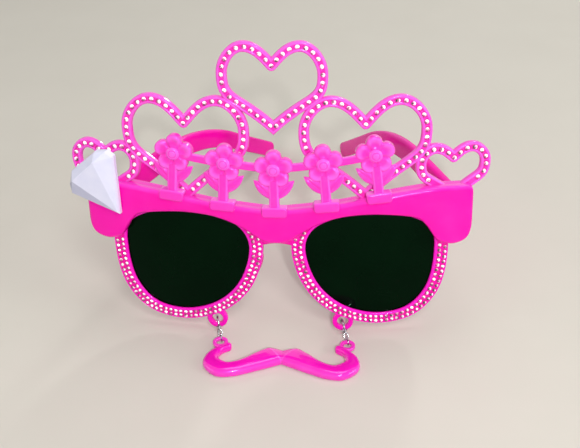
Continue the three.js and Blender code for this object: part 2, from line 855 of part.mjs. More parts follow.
// Long closed link in its own plane, x along, from inside length, inside width and wire
function linkGeometry(length, width, wire) {
  const radius = (width + wire) / 2;
  const straight = (length + wire) / 2 - radius;
  const path = Array.from({ length: 14 }, (_, i) => {
    const turn = (Math.PI * (i % 7)) / 6 - Math.PI / 2;
    const side = i < 7 ? 1 : -1;
    return new THREE.Vector2(side * (straight + radius * Math.cos(turn)), side * radius * Math.sin(turn));
  });
  return band(path, circleProfile(wire / 2, 6), flat);
}

function ringGeometry() {
  return band(circlePath(0, 0, ringInner + ringWire / 2, 18), circleProfile(ringWire / 2, 6), flat);
}

// Places of the pivots along one chain, as distance along the chain's heading and height
function chainPivots() {
  const wire = linkWire / 2;
  const bar = new THREE.Vector2(0, barHeight);
  const ringCentre = new THREE.Vector2(0, ringOuter);
  const first = ringCentre.clone().add(step(ringInner - chainGap - wire, ringPitch));
  const second = first.clone().add(step(linkLength + linkWire, linkPitch[0]));
  const third = second.clone().add(step(linkLength - linkWire - 2 * chainGap, linkPitch[1]));
  const fourth = third.clone().add(step(linkLength + linkWire, linkPitch[2]));
  const hold = hookLength - wire - eyeletStrip / 2 - chainGap - pivotGap;
  const eyeletHeight = hookWire + pivotGap + eyeletDepth / 2 + (hookWidth - eyeletDepth) / 2 - pivotGap;
  const drop = THREE.MathUtils.clamp((fourth.y - eyeletHeight) / hold, -1, 1);
  const fifth = fourth.clone().add(step(hold, Math.asin(drop)));
  return { bar, ringCentre, pivots: [bar, first, second, third, fourth, fifth] };
}

function step(length, pitch) {
  return new THREE.Vector2(length * Math.cos(pitch), -length * Math.sin(pitch));
}

// One chain from its loop to the moustache: ring, two pairs of flat and upright links
function chain(side, name) {
  const { ringCentre, pivots } = chainPivots();
  const group = new THREE.Group();
  const start = onFloor(new THREE.Vector3(side * barSpot.x, barSpot.y, barSpot.z));
  group.position.set(start.x, start.y, 0);
  group.rotation.z = chainYaw - Math.PI / 2;
  const ring = named(`${name}_jump_ring`, ringGeometry(), chrome);
  ring.position.set(ringCentre.x, 0, ringCentre.y);
  ring.rotation.x = Math.PI / 2;
  group.add(ring);
  for (let i = 1; i <= 4; i += 1) {
    group.add(chainLink(`${name}_link_${i}`, pivots[i], pivots[i + 1], i));
  }
  return group;
}

function chainLink(name, from, to, order) {
  const upright = order % 2 === 0;
  const hook = order === 4;
  const size = hook ? [hookLength, hookWidth, hookWire] : [linkLength, linkWidth, linkWire];
  const along = to.clone().sub(from);
  const middle = from.clone().add(to).multiplyScalar(0.5);
  if (hook) {
    const reach = along.length() / 2 + eyeletStrip / 2 + pivotGap - hookLength / 2;
    middle.addScaledVector(along.clone().normalize(), reach);
  }
  const link = named(name, linkGeometry(...size), chrome);
  link.position.set(middle.x, 0, middle.y);
  link.rotation.order = 'YXZ';
  link.rotation.y = -Math.atan2(along.y, along.x);
  link.rotation.x = upright ? Math.PI / 2 : 0;
  return link;
}

// How far the front of the moustache sinks in the wedge that widens from its notch to its two bumps
function moustacheSink(x, y) {
  const notch = moustacheOuter[0][1];
  const rise = (y - notch) / (moustacheInner[0][1] - notch);
  return moustacheDent * Math.max(0, rise - Math.abs(x) / moustacheInner[1][0]);
}

// One section from the outer edge to the inner one; n is -1 and 1 on these edges
function moustacheRib(outer, inner, squeeze, low) {
  const profile = [
    [-0.8, 0], [0.8, 0], [1, 0.32], [0.86, 0.72], [0.45, 0.97],
    [0, 1], [-0.45, 0.97], [-0.86, 0.72], [-1, 0.32],
  ];
  return profile.map(([n, up]) => {
    const p = new THREE.Vector2().lerpVectors(outer, inner, (n + 1) / 2);
    return flat(p.x, p.y, low + up * (moustacheDepth * squeeze - moustacheSink(p.x, p.y)));
  });
}

// Moustache: a pillowed body between two edges, with curled ends and an eyelet behind each tip
function moustache(eyelet) {
  const edges = [moustacheOuter, moustacheInner].map((points) => {
    const places = points.map(([x, y]) => new THREE.Vector3(x, y, 0));
    return new THREE.CatmullRomCurve3(places, false, 'centripetal');
  });
  const along = (share) => edges.map((edge) => edge.getPoint(share));
  const half = Array.from({ length: moustacheSteps + 1 }, (_, i) => {
    const share = i / moustacheSteps;
    return [...along(share), 1 - 0.25 * share * share, 0];
  });
  const [outer, inner] = along(1);
  const middle = outer.clone().lerp(inner, 0.5);
  const across = inner.clone().sub(middle);
  const onward = new THREE.Vector3(across.y, -across.x, 0);
  const tip = tipTurns.map((turn) => {
    const [cos, sin] = [Math.cos(turn), Math.sin(turn)];
    const reach = middle.clone().addScaledVector(onward, sin);
    const ends = [-cos, cos].map((way) => reach.clone().addScaledVector(across, way));
    return [...ends, 0.75 * (0.4 + 0.6 * cos), 0.3 * moustacheDepth * (1 - cos)];
  });
  const right = [...half, ...tip];
  const left = right.slice(1).reverse().map(([a, b, ...rest]) => [turnedOver(a), turnedOver(b), ...rest]);
  const body = loft([...left, ...right].map((rib) => moustacheRib(...rib)), false);
  return join(body, eyeletGeometry(eyelet, 1), eyeletGeometry(eyelet, -1));
}

function turnedOver(point) {
  return new THREE.Vector3(-point.x, point.y, point.z);
}

function eyeletGeometry(eyelet, side) {
  const path = circlePath(side * eyelet.across, 0, eyeletOuter - eyeletStrip / 2, eyeletSteps);
  const [low, high] = [eyelet.height - eyeletDepth / 2, eyelet.height + eyeletDepth / 2];
  const profile = chamfered(-eyeletStrip / 2, eyeletStrip / 2, low, high, eyeletEdge);
  return band(path, profile, flat);
}

// Places the moustache so that its eyelets lie in the last links
function placedMoustache() {
  const last = chainPivots().pivots[5];
  const start = onFloor(barSpot);
  const mesh = named('moustache', moustache({ across: start.x, height: last.y }), pink);
  const eyeletReach = eyeletOuter - eyeletStrip / 2;
  mesh.position.set(last.x * Math.sin(chainYaw), start.y - last.x * Math.cos(chainYaw) - eyeletReach, 0);
  return mesh;
}

// Hinge and temple of one side
function templeSet(side, name) {
  const mount = new THREE.Group();
  const place = bend(side * hingeAcross, hingeHeight, hingeBack);
  mount.position.copy(place);
  mount.rotation.z = side * endTurn;
  const turned = (geometry) => (side > 0 ? geometry : mirrored(geometry));
  mount.add(named(`${name}_front_hinge_leaf`, turned(frontLeaf()), chrome));
  mount.add(named(`${name}_hinge_screw`, turned(hingeScrew()), chrome));
  const swing = new THREE.Group();
  swing.rotation.z = side * (templeRest - endTurn);
  swing.add(named(`${name}_temple`, turned(temple()), pink));
  swing.add(named(`${name}_temple_hinge_leaf`, turned(templeLeaf()), chrome));
  mount.add(swing);
  return mount;
}

function buildGlasses() {
  const glasses = new THREE.Group();
  glasses.name = 'party_sunglasses';
  const front = new THREE.Group();
  front.rotation.x = -lean;
  front.position.z = lift;
  front.add(named('front_frame', frontFrame(), pink));
  front.add(named('brow_bar', browBar(0), deepPink));
  front.add(named('heart_tiara', tiara(), pink));
  front.add(named('flower_crest', crest(), pink));
  front.add(named('right_lens', lens(), lensGreen));
  front.add(named('left_lens', mirrored(lens()), lensGreen));
  front.add(named('gem', gem(), pearl));
  front.add(templeSet(1, 'right'), templeSet(-1, 'left'));
  glasses.add(front);
  glasses.add(chain(1, 'right'), chain(-1, 'left'), placedMoustache());
  return glasses;
}

// Sets the origin under the middle of the whole, on the floor
function centred(glasses) {
  glasses.updateMatrixWorld(true);
  const box = new THREE.Box3().setFromObject(glasses, true);
  const middle = box.getCenter(new THREE.Vector3());
  glasses.position.set(-middle.x, -middle.y, -box.min.z);
  return glasses;
}

export default centred(buildGlasses());
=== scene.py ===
# Party sunglasses with a tiara of hearts, a flower crest, a gem and a moustache on two short chains.
# The finished pieces are surfaces worked out on grids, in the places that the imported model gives.
import json
import math

import bpy
import numpy as np
from mathutils import Matrix, Vector


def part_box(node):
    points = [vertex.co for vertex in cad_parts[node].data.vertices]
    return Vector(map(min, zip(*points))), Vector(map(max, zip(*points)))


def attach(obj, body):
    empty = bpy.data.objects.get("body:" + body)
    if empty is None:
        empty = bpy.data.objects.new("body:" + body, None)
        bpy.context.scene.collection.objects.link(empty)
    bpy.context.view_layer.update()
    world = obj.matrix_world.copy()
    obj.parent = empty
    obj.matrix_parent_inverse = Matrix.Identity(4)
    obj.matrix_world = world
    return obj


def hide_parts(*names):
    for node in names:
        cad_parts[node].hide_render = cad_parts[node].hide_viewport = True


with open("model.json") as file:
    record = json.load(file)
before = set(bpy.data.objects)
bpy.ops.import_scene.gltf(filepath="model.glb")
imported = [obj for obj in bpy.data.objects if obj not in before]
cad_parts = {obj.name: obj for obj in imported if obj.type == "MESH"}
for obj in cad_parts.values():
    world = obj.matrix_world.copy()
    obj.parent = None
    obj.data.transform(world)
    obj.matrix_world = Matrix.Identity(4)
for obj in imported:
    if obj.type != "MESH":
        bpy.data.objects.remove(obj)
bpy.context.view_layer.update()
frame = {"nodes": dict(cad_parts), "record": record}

MM = 0.001
RNG = np.random.default_rng(7)

# Sizes of the glasses, in millimetres. The front is drawn flat, with s across, h up and d back from
# the hearts' face, and is then bent round an upright cylinder behind it.
BEND_RADIUS = 306.0
SEAT_GAP = 0.3
LAYER = 0.02  # sets apart faces of one piece that would lie in each other
LENS_OPENING = [
    (11.0, 39.0), (14.5, 46.2), (24.0, 50.6), (38.0, 51.6), (52.0, 49.9), (59.6, 44.4),
    (60.8, 33.0), (57.8, 19.5), (50.5, 11.5), (38.0, 9.2), (24.5, 13.5), (15.0, 23.5),
]
LENS_THICKNESS = 1.8
LENS_TUCK = 0.9
LENS_DOME = 0.9
LENS_SETBACK = 1.3
RIM_WIDTH = 5.4
RIM_FOOT = 4.5
RIM_DEPTH = 4.0
RIM_LIP = 1.0
CHANNEL_SLOPE = 0.3
CHANNEL_DEPTH = 0.25
BROW_TOP = [(0, 54.9), (24, 57.7), (45, 61.4), (60, 63.1), (74.3, 63.0)]
BROW_BOTTOM = [
    (0, 41.6), (4.5, 42.2), (12, 47.2), (19, 50.6), (27, 52.6), (38, 53.1),
    (51.7, 51.4), (56.4, 48.2), (60.6, 41.8), (64, 39.8), (68, 39.4), (72.2, 41.2), (74.3, 45.5),
]
BROW_REACH = 74.3
BROW_DEPTH = 3.7
BROW_CORNERS = (1.6, 1.4)  # at the lower and the upper end of each side
BROW_EDGE = 1.6
BAR_REACH = 73.7
BAR_TOP_INSET = 0.4
BAR_INSET = 2.4
BRIDGE_REACH = 9.0
BRIDGE_HEIGHTS = (39.6, 47.0)
BRIDGE_SAG = 2.2
BRIDGE_DEPTH = 5.0
END_INNER = 62.6
END_HEIGHTS = (43.2, 56.8)
END_BACK = 8.4
PAD_PLACE = (9.6, 27.5, 5.4)
PAD_SIZE = (2.3, 7.0, 3.6)
PAD_TILT = math.radians(24)
HEART_STRIP = 4.0
HEART_DEPTH = 2.4
HEART_CHANNEL = (0.75, 1.15)  # half the width of its floor and of its mouth
HEART_NOTCH = (0.25, 0.4, 0.55)  # where the curve from the notch to the lobe is pulled to, as shares
HEART_LOBE = 0.56
HEART_KNEE = (0.72, 0.55)
HEART_FLANK = (0.85, 1.25)
HEARTS = [
    {"s": 0.0, "top": 119.4, "tip": 83.8, "half": 20.5, "side": 12.4, "notch": 7.0},
    {"s": 34.0, "top": 98.8, "tip": 56.4, "half": 24.8, "side": 13.5, "notch": 8.9},
    {"s": 67.3, "top": 79.1, "tip": 54.6, "half": 14.4, "side": 7.8, "notch": 3.8},
]
FLOWER_COUNT = 5
FLOWER_PITCH = 19.4
FLOWER_RISE = 17.2
PETALS = 5
PETAL_RADIUS = 3.1
PETAL_SPREAD = 4.3
BUTTON_RADIUS = 2.5
STEM_WIDTH = 3.8
LEAF_LENGTH = 10.4
LEAF_WIDTH = 4.4
LEAF_TILT = math.radians(47)
LEAF_RISE = 5.6
FOOT_WIDTH = 9.6
FOOT_HEIGHT = 2.4
FOOT_LAP = 1.6
FOOT_CORNER = 1.4
FOOT_EDGE = 0.65
CREST_FRONT = -5.8
CREST_BACK = -1.4
CREST_DEPTH = 3.4
RAIL_HEIGHT = 3.0
RAIL_DEPTH = 2.2
LOOP_PLACE = (25.3, 5.4)
LOOP_OUTER = 4.15
LOOP_STRIP = 1.9
LOOP_DEPTH = 2.4
HINGE_PLACE = (68.4, 50.0, 10.2)
TEMPLE_THICKNESS = (3.8, 3.0)
TEMPLE_HEIGHT = (10.4, 7.6)
TEMPLE_LENGTHS = (34.0, 60.0, 44.0)
TEMPLE_RISE = math.radians(5)
TEMPLE_TURN = math.radians(30)
TEMPLE_REST = math.radians(22)
TEMPLE_OPEN_STOP = math.radians(3)
TEMPLE_STEPS = 22
KNUCKLE_RADIUS = 1.5
TEMPLE_INSIDE = KNUCKLE_RADIUS + 0.4
RING_MIDDLE = 2.8
RING_WIRE = 0.8
WIRE_EASE = 0.13  # taken off every wire, so that the links stay clear at the ends of their swing
LINK_INSIDE = (1.9, 1.1)
LINK_WIRE = 0.55
HOOK_INSIDE = (3.2, 2.1)
HOOK_WIRE = 0.6
CHAIN_YAW = math.radians(16)
PIVOT_GAP = 0.25
EYELET_OUTER = 3.1
EYELET_STRIP = 1.5
EYELET_DEPTH = 1.4
MOUSTACHE_DEPTH = 3.7
MOUSTACHE_INNER = [
    (0, -3.8), (5.2, -2.8), (9.5, -5.4), (15.2, -10.0),
    (20.2, -12.0), (24.6, -9.3), (23.7, -5.3), (20.9, -3.2),
]
MOUSTACHE_OUTER = [
    (0, -10.6), (6.0, -13.5), (12.0, -16.1), (18.0, -18.3),
    (24.6, -18.5), (30.2, -13.2), (29.5, -7.1), (23.1, -0.9),
]
MOUSTACHE_DENT = 1.0
MOUSTACHE_THINNING = 0.25  # share of the depth that is lost towards each tip
MOUSTACHE_WALL = 0.3  # share of the height where the pillow begins
MOUSTACHE_PILLOW = (0.8, 0.72)  # powers of cosine and sine across and up; 1 and 1 would be an ellipse

# Stones, in millimetres. A ring of a stone is a share of its radius, a share of its height and a
# twist in facets; a ring of a cup is a share of the stone's radius, how deep it lies and its painted light.
RIM_ROWS = (0.37, 0.77)  # as shares of the rim's width
RIM_STONE = 0.74
RIM_STONE_HEIGHT = 0.5
RIM_STONE_SEAT = 0.22
RIM_PITCH = 2.15
RIM_BELOW_BROW = 0.3
HEART_STONE = 0.92
HEART_STONE_HEIGHT = 0.55
HEART_STONE_SEAT = 0.3
HEART_PITCH = 3.0
HEART_ABOVE_BROW = 1.3
STONE_SIDES = 8
STONE_RINGS = ((1.0, -0.1, 0.0), (1.0, 0.12, 0.0), (0.78, 0.62, 0.5), (0.42, 1.0, 0.0))
CUP_SIDES = 10
CUP_RINGS = ((0.6, 0.1, 0.0), (1.0, 0.1, 0.0), (1.18, 0.0, 0.4), (1.38, -0.04, 1.0))
CUP_LIFT = 0.06

# Painted light. A point's painted light is 1 for a painted highlight on an edge and 0 for painted shade
# in a channel. The dullest is the least mean painted glint of a stone.
SIDE_PAINTED_LIGHT = 0.4
RIM_DULLEST = 0.15
HEART_DULLEST = 0.3
AMBIENT = (0.28, 0.276, 0.268)
PALE = (0.93, 0.92, 0.89)
PEARL_SHADED_SIDE = (-0.75, -0.25, -0.6)  # facets facing this way get painted shade, as if the light fell from the other side

ARC_STEPS = 6  # points on each rounded corner of a section

joints = {joint["name"]: joint for joint in frame["record"]["behaviour"]["joints"]}


# Places

def bend(s, h, d):
    """Point of the bent front: s becomes an arc of BEND_RADIUS - d round the upright axis."""
    radius = BEND_RADIUS - d
    turn = s / BEND_RADIUS
    return np.stack([radius * np.sin(turn), BEND_RADIUS - radius * np.cos(turn), h + 0.0 * turn], axis=-1)


hinge_joint = joints["right_temple_hinge"]
LEAN = math.atan2(hinge_joint["axis"][1], hinge_joint["axis"][2])


def leaned(points):
    """Points turned about X by the lean of the standing front, its top towards the back."""
    x, y, z = np.moveaxis(points, -1, 0)
    cos, sin = math.cos(LEAN), math.sin(LEAN)
    return np.stack([x, y * cos + z * sin, z * cos - y * sin], axis=-1)


FRONT_ORIGIN = np.array(hinge_joint["pos_m"]) / MM - leaned(bend(*map(np.float64, HINGE_PLACE)))


def on_front(s, h, d):
    """Flat place on the front to metres in the glasses' own frame."""
    s, h, d = np.broadcast_arrays(np.asarray(s, float), h, d)
    return (leaned(bend(s, h, d)) + FRONT_ORIGIN) * MM


def pivot(name):
    """Place of a joint's pivot, in millimetres."""
    return np.array(joints[name]["pos_m"]) / MM


# Curves

def hermite(a, b, ta, tb, w):
    """Cubic from a to b with end tangents ta and tb, at shares w."""
    return (
        a * (2 * w**3 - 3 * w**2 + 1) + ta * (w**3 - 2 * w**2 + w)
        + b * (3 * w**2 - 2 * w**3) + tb * (w**3 - w**2)
    )


def even(points, count, closed=False):
    """The same path as count points at equal distances along it."""
    track = np.vstack([points, points[:1]]) if closed else points
    along = np.concatenate([[0.0], np.cumsum(np.linalg.norm(np.diff(track, axis=0), axis=1))])
    wanted = np.linspace(0, along[-1], count, endpoint=not closed)
    return np.stack([np.interp(wanted, along, track[:, k]) for k in range(track.shape[1])], axis=1)


def catmull(points, closed=False, samples=24):
    """Centripetal Catmull-Rom curve through the points, with the same number of samples in each span."""
    p = np.array(points, float)
    if closed:
        p = np.vstack([p[-1:], p, p[:2]])
    else:
        p = np.vstack([2 * p[:1] - p[1:2], p, 2 * p[-1:] - p[-2:-1]])
    a, b, c, e = p[:-3, None], p[1:-2, None], p[2:-1, None], p[3:, None]
    steps = (b - a, c - b, e - c)
    t0, t1, t2 = (np.sqrt(np.linalg.norm(step, axis=-1, keepdims=True)) for step in steps)
    start = t1 * ((b - a) / t0 - (c - a) / (t0 + t1) + (c - b) / t1)
    stop = t1 * ((c - b) / t1 - (e - b) / (t1 + t2) + (e - c) / t2)
    w = np.linspace(0, 1, samples, endpoint=False)[None, :, None]
    curve = hermite(b, c, start, stop, w).reshape(-1, p.shape[1])
    return curve if closed else np.vstack([curve, p[-2:-1]])


def smooth_path(points, count, closed=False):
    """Catmull-Rom curve through the points, as count points at equal distances."""
    return even(catmull(points, closed), count, closed)


def curve_over(points):
    """Height over |distance| of a uniform Catmull-Rom curve through the points."""
    p = np.array(points, float)
    p = np.vstack([p[:1], p, p[-1:]])
    w = np.linspace(0, 1, 40)[None, :, None]
    a, b, c, e = p[:-3, None], p[1:-2, None], p[2:-1, None], p[3:, None]
    track = hermite(b, c, (c - a) / 2, (e - b) / 2, w).reshape(-1, 2)
    return lambda s: np.interp(np.abs(s), track[:, 0], track[:, 1])


brow_top = curve_over(BROW_TOP)
brow_bottom = curve_over(BROW_BOTTOM)


def smoothstep(x, low, high):
    """0 up to low and 1 from high, with 3t^2 - 2t^3 between them."""
    t = np.clip((x - low) / (high - low), 0, 1)
    return t * t * (3 - 2 * t)


def outward(path, closed=True):
    """Unit normals of a path, to the right of its direction."""
    if closed:
        tangent = np.roll(path, -1, axis=0) - np.roll(path, 1, axis=0)
    else:
        tangent = np.gradient(path, axis=0)
    tangent /= np.linalg.norm(tangent, axis=1, keepdims=True)
    return np.stack([tangent[:, 1], -tangent[:, 0]], axis=1)


def anticlockwise(path):
    """The closed path, reversed if the sum of its corners' cross products comes out negative."""
    x, y = path[:, 0], path[:, 1]
    twice_area = np.sum(x * np.roll(y, -1) - np.roll(x, -1) * y)
    return path if twice_area > 0 else path[::-1]


# Meshes

def grid_faces(rows, columns, closed_rows, closed_columns):
    """Four-sided faces between neighbouring rows and columns of points numbered row by row."""
    i = np.arange(rows if closed_rows else rows - 1)[:, None]
    j = np.arange(columns if closed_columns else columns - 1)[None, :]
    k, m = (i + 1) % rows, (j + 1) % columns
    corners = [i * columns + j, i * columns + m, k * columns + m, k * columns + j]
    return np.stack(np.broadcast_arrays(*corners), axis=-1).reshape(-1, 4)


def turned_out(points, faces):
    """Faces of a closed form, all turned round if its volume comes out negative."""
    first = points[faces[:, 0]]
    volume = 0.0
    for corner in range(1, faces.shape[1] - 1):
        across = np.cross(points[faces[:, corner]], points[faces[:, corner + 1]])
        volume += np.einsum("ij,ij->i", first, across).sum()
    return faces[:, ::-1] if volume < 0 else faces


def skin(grid, closed_rows=False, painted_light=None):
    """A grid of closed sections as a form; open rows are closed with a fan at each end."""
    rows, columns = grid.shape[:2]
    points = grid.reshape(-1, 3)
    faces = grid_faces(rows, columns, closed_rows, True)
    painted_lights = np.zeros(len(points)) if painted_light is None else np.broadcast_to(painted_light, (rows, columns)).reshape(-1)
    if not closed_rows:
        ends = np.stack([grid[0].mean(axis=0), grid[-1].mean(axis=0)])
        ring = np.arange(columns)
        following = (ring + 1) % columns
        last = (rows - 1) * columns
        middle = np.full(columns, len(points))
        first_fan = np.stack([middle, following, ring, ring], axis=1)
        last_fan = np.stack([middle + 1, last + ring, last + following, last + following], axis=1)
        faces = np.vstack([faces, first_fan, last_fan])
        points = np.vstack([points, ends])
        painted_lights = np.concatenate([painted_lights, painted_lights[:2] * 0])
    return points, turned_out(points, faces), painted_lights


def piece(name, forms, body, nodes, material, crease=35):
    """One object from several forms; edges sharper than crease degrees stay sharp."""
    points, faces, painted_lights, start = [], [], [], 0
    for form_points, form_faces, form_painted_lights in forms:
        points.append(form_points)
        faces.append(form_faces + start)
        painted_lights.append(form_painted_lights)
        start += len(form_points)
    polygons = [list(dict.fromkeys(face)) for face in np.vstack(faces).tolist()]
    mesh = bpy.data.meshes.new(name)
    mesh.from_pydata(np.vstack(points).tolist(), [], polygons)
    # the painted light of each point, which the materials turn into painted highlights and painted shade
    layer = mesh.attributes.new("painted_light", "FLOAT", "POINT")
    layer.data.foreach_set("value", np.concatenate(painted_lights).astype(np.float32))
    mesh.validate()
    mesh.shade_smooth()
    mesh.set_sharp_from_angle(angle=math.radians(crease))
    mesh.materials.append(material)
    thing = bpy.data.objects.new(name, mesh)
    bpy.context.scene.collection.objects.link(thing)
    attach(thing, body)
    if nodes:
        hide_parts(*nodes)


def finish_node(name, material, edge):
    """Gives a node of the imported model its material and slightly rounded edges."""
    thing = frame["nodes"][name]
    thing.data.materials.clear()
    thing.data.materials.append(material)
    bevel = thing.modifiers.new("soft_edges", "BEVEL")
    bevel.width = edge * MM
    bevel.segments = 2
    bevel.limit_method = "ANGLE"
    bevel.angle_limit = math.radians(12)


def both_sides(form):
    """The form for the right side (1) and for the left side (-1)."""
    return [form(1), form(-1)]


def rounded_box_profile(low, high, front, back, front_radius, back_radius):
    """Closed section: a rectangle whose corners are quarter circles, as arrays of height and depth."""
    turn = np.linspace(0, math.pi / 2, ARC_STEPS)
    sin, cos = np.sin(turn), np.cos(turn)
    low, high, front, back = (np.asarray(v, float)[..., None] for v in (low, high, front, back))
    f, b = (np.asarray(v, float)[..., None] for v in (front_radius, back_radius))
    height = [high - f + f * sin, high - b + b * cos, low + b - b * sin, low + f - f * cos]
    depth = [front + f - f * cos, back - b + b * sin, back - b + b * cos, front + f - f * sin]
    height, depth = np.broadcast_arrays(np.concatenate(height, axis=-1), np.concatenate(depth, axis=-1))
    return height, depth


def bar(along, low, high, front, back, front_radius, back_radius, end=0.8, place=on_front):
    """A bar along s between the heights low(s) and high(s), its ends rounded over the length end.

    Its upper front edge and its top carry a painted highlight, so they come out brighter.
    """
    turn = np.linspace(math.pi / 2, 0, ARC_STEPS)
    first, last = along[0], along[-1]
    clear = end + 0.05
    inner = along[(along > first + clear) & (along < last - clear)]
    s = np.concatenate([first + end - end * np.sin(turn), inner, (last - end + end * np.sin(turn))[::-1]])
    inset = np.zeros_like(s)
    inset[:ARC_STEPS] = end * (1 - np.cos(turn))
    inset[-ARC_STEPS:] = inset[:ARC_STEPS][::-1]
    height, depth = rounded_box_profile(
        low(s) + inset, high(s) - inset, front + inset, back - inset, front_radius, back_radius
    )
    rising, falling = np.linspace(0, 1, ARC_STEPS), np.linspace(1, SIDE_PAINTED_LIGHT, ARC_STEPS)
    painted_light = np.concatenate([rising, falling, np.zeros(2 * ARC_STEPS)])
    return skin(place(s[:, None] + 0 * height, height, depth), painted_light=painted_light[None, :])


def rounding(s, reach, size):
    """How far a corner of radius size draws an edge in at s, where the bar ends at reach."""
    share = np.clip((np.abs(s) - (reach - size)) / size, 0, 1)
    return size * (1 - np.sqrt(1 - share**2))


# Materials

class Wire:
    """A link between nodes: + - and * add Math nodes."""

    def __init__(self, nodes, socket):
        self.nodes = nodes
        self.socket = socket

    def _math(self, operation, first, second):
        return self.nodes.node("ShaderNodeMath", {"operation": operation}, first, second)

    def __add__(self, other):
        return self._math("ADD", self, other)

    def __sub__(self, other):
        return self._math("SUBTRACT", self, other)

    def __rsub__(self, other):
        return self._math("SUBTRACT", other, self)

    def __mul__(self, other):
        return self._math("MULTIPLY", self, other)

    __radd__ = __add__
    __rmul__ = __mul__


class Nodes:
    """The nodes of a material or of the world."""

    def __init__(self, tree):
        self.tree = tree

    def own(self, kind):
        """The node of this kind that the tree began with."""
        return next(node for node in self.tree.nodes if node.type == kind)

    def node(self, kind, settings=None, *values, output=0, **named):
        """Adds a node: its settings first, then the values or links of its sockets by order and name."""
        new = self.tree.nodes.new(kind)
        for key, value in (settings or {}).items():
            setattr(new, key, value)
        sockets = list(zip([socket for socket in new.inputs if socket.enabled], values))
        sockets += [(new.inputs[key.replace("_", " ")], value) for key, value in named.items()]
        for socket, value in sockets:
            self.plug(socket, value)
        return Wire(self, new.outputs[output])

    def plug(self, socket, value):
        """Links a wire to the socket, or sets the socket's own value."""
        if isinstance(value, Wire):
            self.tree.links.new(value.socket, socket)
        elif isinstance(value, tuple) and socket.type == "RGBA":
            socket.default_value = (*value, 1.0)
        else:
            socket.default_value = value


class Finish(Nodes):
    """A material under construction, with one Principled BSDF."""

    def __init__(self, name, **sockets):
        self.material = bpy.data.materials.new(name)
        self.material.use_nodes = True
        super().__init__(self.material.node_tree)
        self.surface = self.own("BSDF_PRINCIPLED")
        for socket, value in sockets.items():
            self.surface.inputs[socket.replace("_", " ")].default_value = value

    def noise(self, size, detail=2.0, rough=0.5):
        """Noise from 0 to 1 whose features are about size millimetres, on object coordinates."""
        place = self.node("ShaderNodeTexCoord", output="Object")
        return self.node(
            "ShaderNodeTexNoise", Vector=place, Scale=1 / (size * MM), Detail=detail, Roughness=rough
        )

    def mix(self, share, first, second):
        """Colour mixed from first to second by share."""
        return self.node("ShaderNodeMix", {"data_type": "RGBA"}, share, first, second, output=2)

    def ramp(self, value, low, high):
        """The smoothstep of value between low and high."""
        settings = {"interpolation_type": "SMOOTHSTEP"}
        return self.node("ShaderNodeMapRange", settings, Value=value, From_Min=low, From_Max=high)

    def attribute(self, name):
        """A value that the mesh carries at its points."""
        return self.node("ShaderNodeAttribute", {"attribute_name": name}, output="Fac")

    def bump(self, height, strength, distance):
        """Normals tilted as if height from 0 to 1 stood distance millimetres high."""
        return self.node("ShaderNodeBump", Height=height, Strength=strength, Distance=distance * MM)

    def set(self, **sockets):
        """Plugs the values or links into the surface, and gives the finished material."""
        for socket, value in sockets.items():
            self.plug(self.surface.inputs[socket.replace("_", " ")], value)
        return self.material


def moulded_plastic(name, deep, bright, gloss, mirror=0.5):
    """Glossy moulded plastic: painted highlights on lips and painted shade in channels, a faint flow mottle
    and fine scuffs.
    """
    finish = Finish(
        name, IOR=1.5, Specular_IOR_Level=mirror, Specular_Tint=(1.0, 0.15, 0.7, 1.0), Coat_Roughness=0.03
    )
    mottle = finish.noise(9.0, 3.0)
    flecks = finish.noise(1.1, 2.0)
    scuffs = finish.ramp(finish.noise(0.5, 4.0, 0.65), 0.56, 0.72)
    # painted highlight and painted shade: the painted light lightens edges and deepens channels; the mottle
    # is the plastic's own
    tone = finish.attribute("painted_light") * 0.75 + (mottle - 0.5) * 0.5
    colour = finish.mix(finish.ramp(tone, -0.1, 0.8), deep, bright)
    return finish.set(
        Base_Color=colour,
        Roughness=0.17 + (mottle - 0.5) * 0.08 + scuffs * 0.14,
        Coat_Weight=gloss + (mottle - 0.5) * 0.1,
        Normal=finish.bump(flecks * 0.7 + mottle * 2.0, 0.25, 0.03),
    )


def lens_plastic():
    """Almost black green lens: a thin green cast, a hard gloss and faint wiping marks."""
    finish = Finish(
        "dark_lens_plastic", IOR=1.5, Specular_IOR_Level=0.09, Specular_Tint=(0.3, 1.0, 0.5, 1.0)
    )
    cast = finish.noise(14.0, 2.0)
    wipe = finish.ramp(finish.noise(2.5, 5.0, 0.7), 0.55, 0.8)
    return finish.set(
        Base_Color=finish.mix(cast, (0.0001, 0.0016, 0.0004), (0.0004, 0.006, 0.0016)),
        Roughness=0.05 + wipe * 0.05,
        Normal=finish.bump(finish.noise(6.0, 1.0), 0.2, 0.02),
    )


def pearl_plastic():
    """Milky lavender white plastic with a slightly cloudy depth, and painted shade on the facets that face
    left and down.
    """
    finish = Finish("pearl_plastic", IOR=1.5, Specular_IOR_Level=0.3, Coat_Roughness=0.08)
    cloud = finish.noise(5.0, 3.0)
    grain = finish.noise(0.6, 2.0)
    # painted shade: the more a facet faces left and down, the darker its colour
    facing = finish.node("ShaderNodeTexCoord", output="Normal")
    settings = {"operation": "DOT_PRODUCT"}
    turned = finish.node("ShaderNodeVectorMath", settings, facing, PEARL_SHADED_SIDE, output="Value")
    milk = finish.mix(cloud, (0.68, 0.69, 0.90), (0.80, 0.80, 0.96))
    return finish.set(
        Base_Color=finish.mix(finish.ramp(turned, 0.4, 0.85), milk, (0.38, 0.40, 0.60)),
        Roughness=0.26 + grain * 0.08,
        Coat_Weight=0.2 + cloud * 0.1,
        Normal=finish.bump(grain, 0.15, 0.02),
    )


def bright_metal():
    """Plated steel wire: mirror bright on grey, with fine drawing marks and some tarnish."""
    finish = Finish("plated_wire")
    tarnish = finish.ramp(finish.noise(1.2, 3.0), 0.42, 0.62)
    marks = finish.noise(0.25, 3.0, 0.6)
    return finish.set(
        Base_Color=finish.mix(tarnish, (0.62, 0.64, 0.68), (0.10, 0.10, 0.11)),
        Metallic=1.0,
        Roughness=0.10 + marks * 0.10 + tarnish * 0.10,
        Normal=finish.bump(marks, 0.2, 0.02),
    )


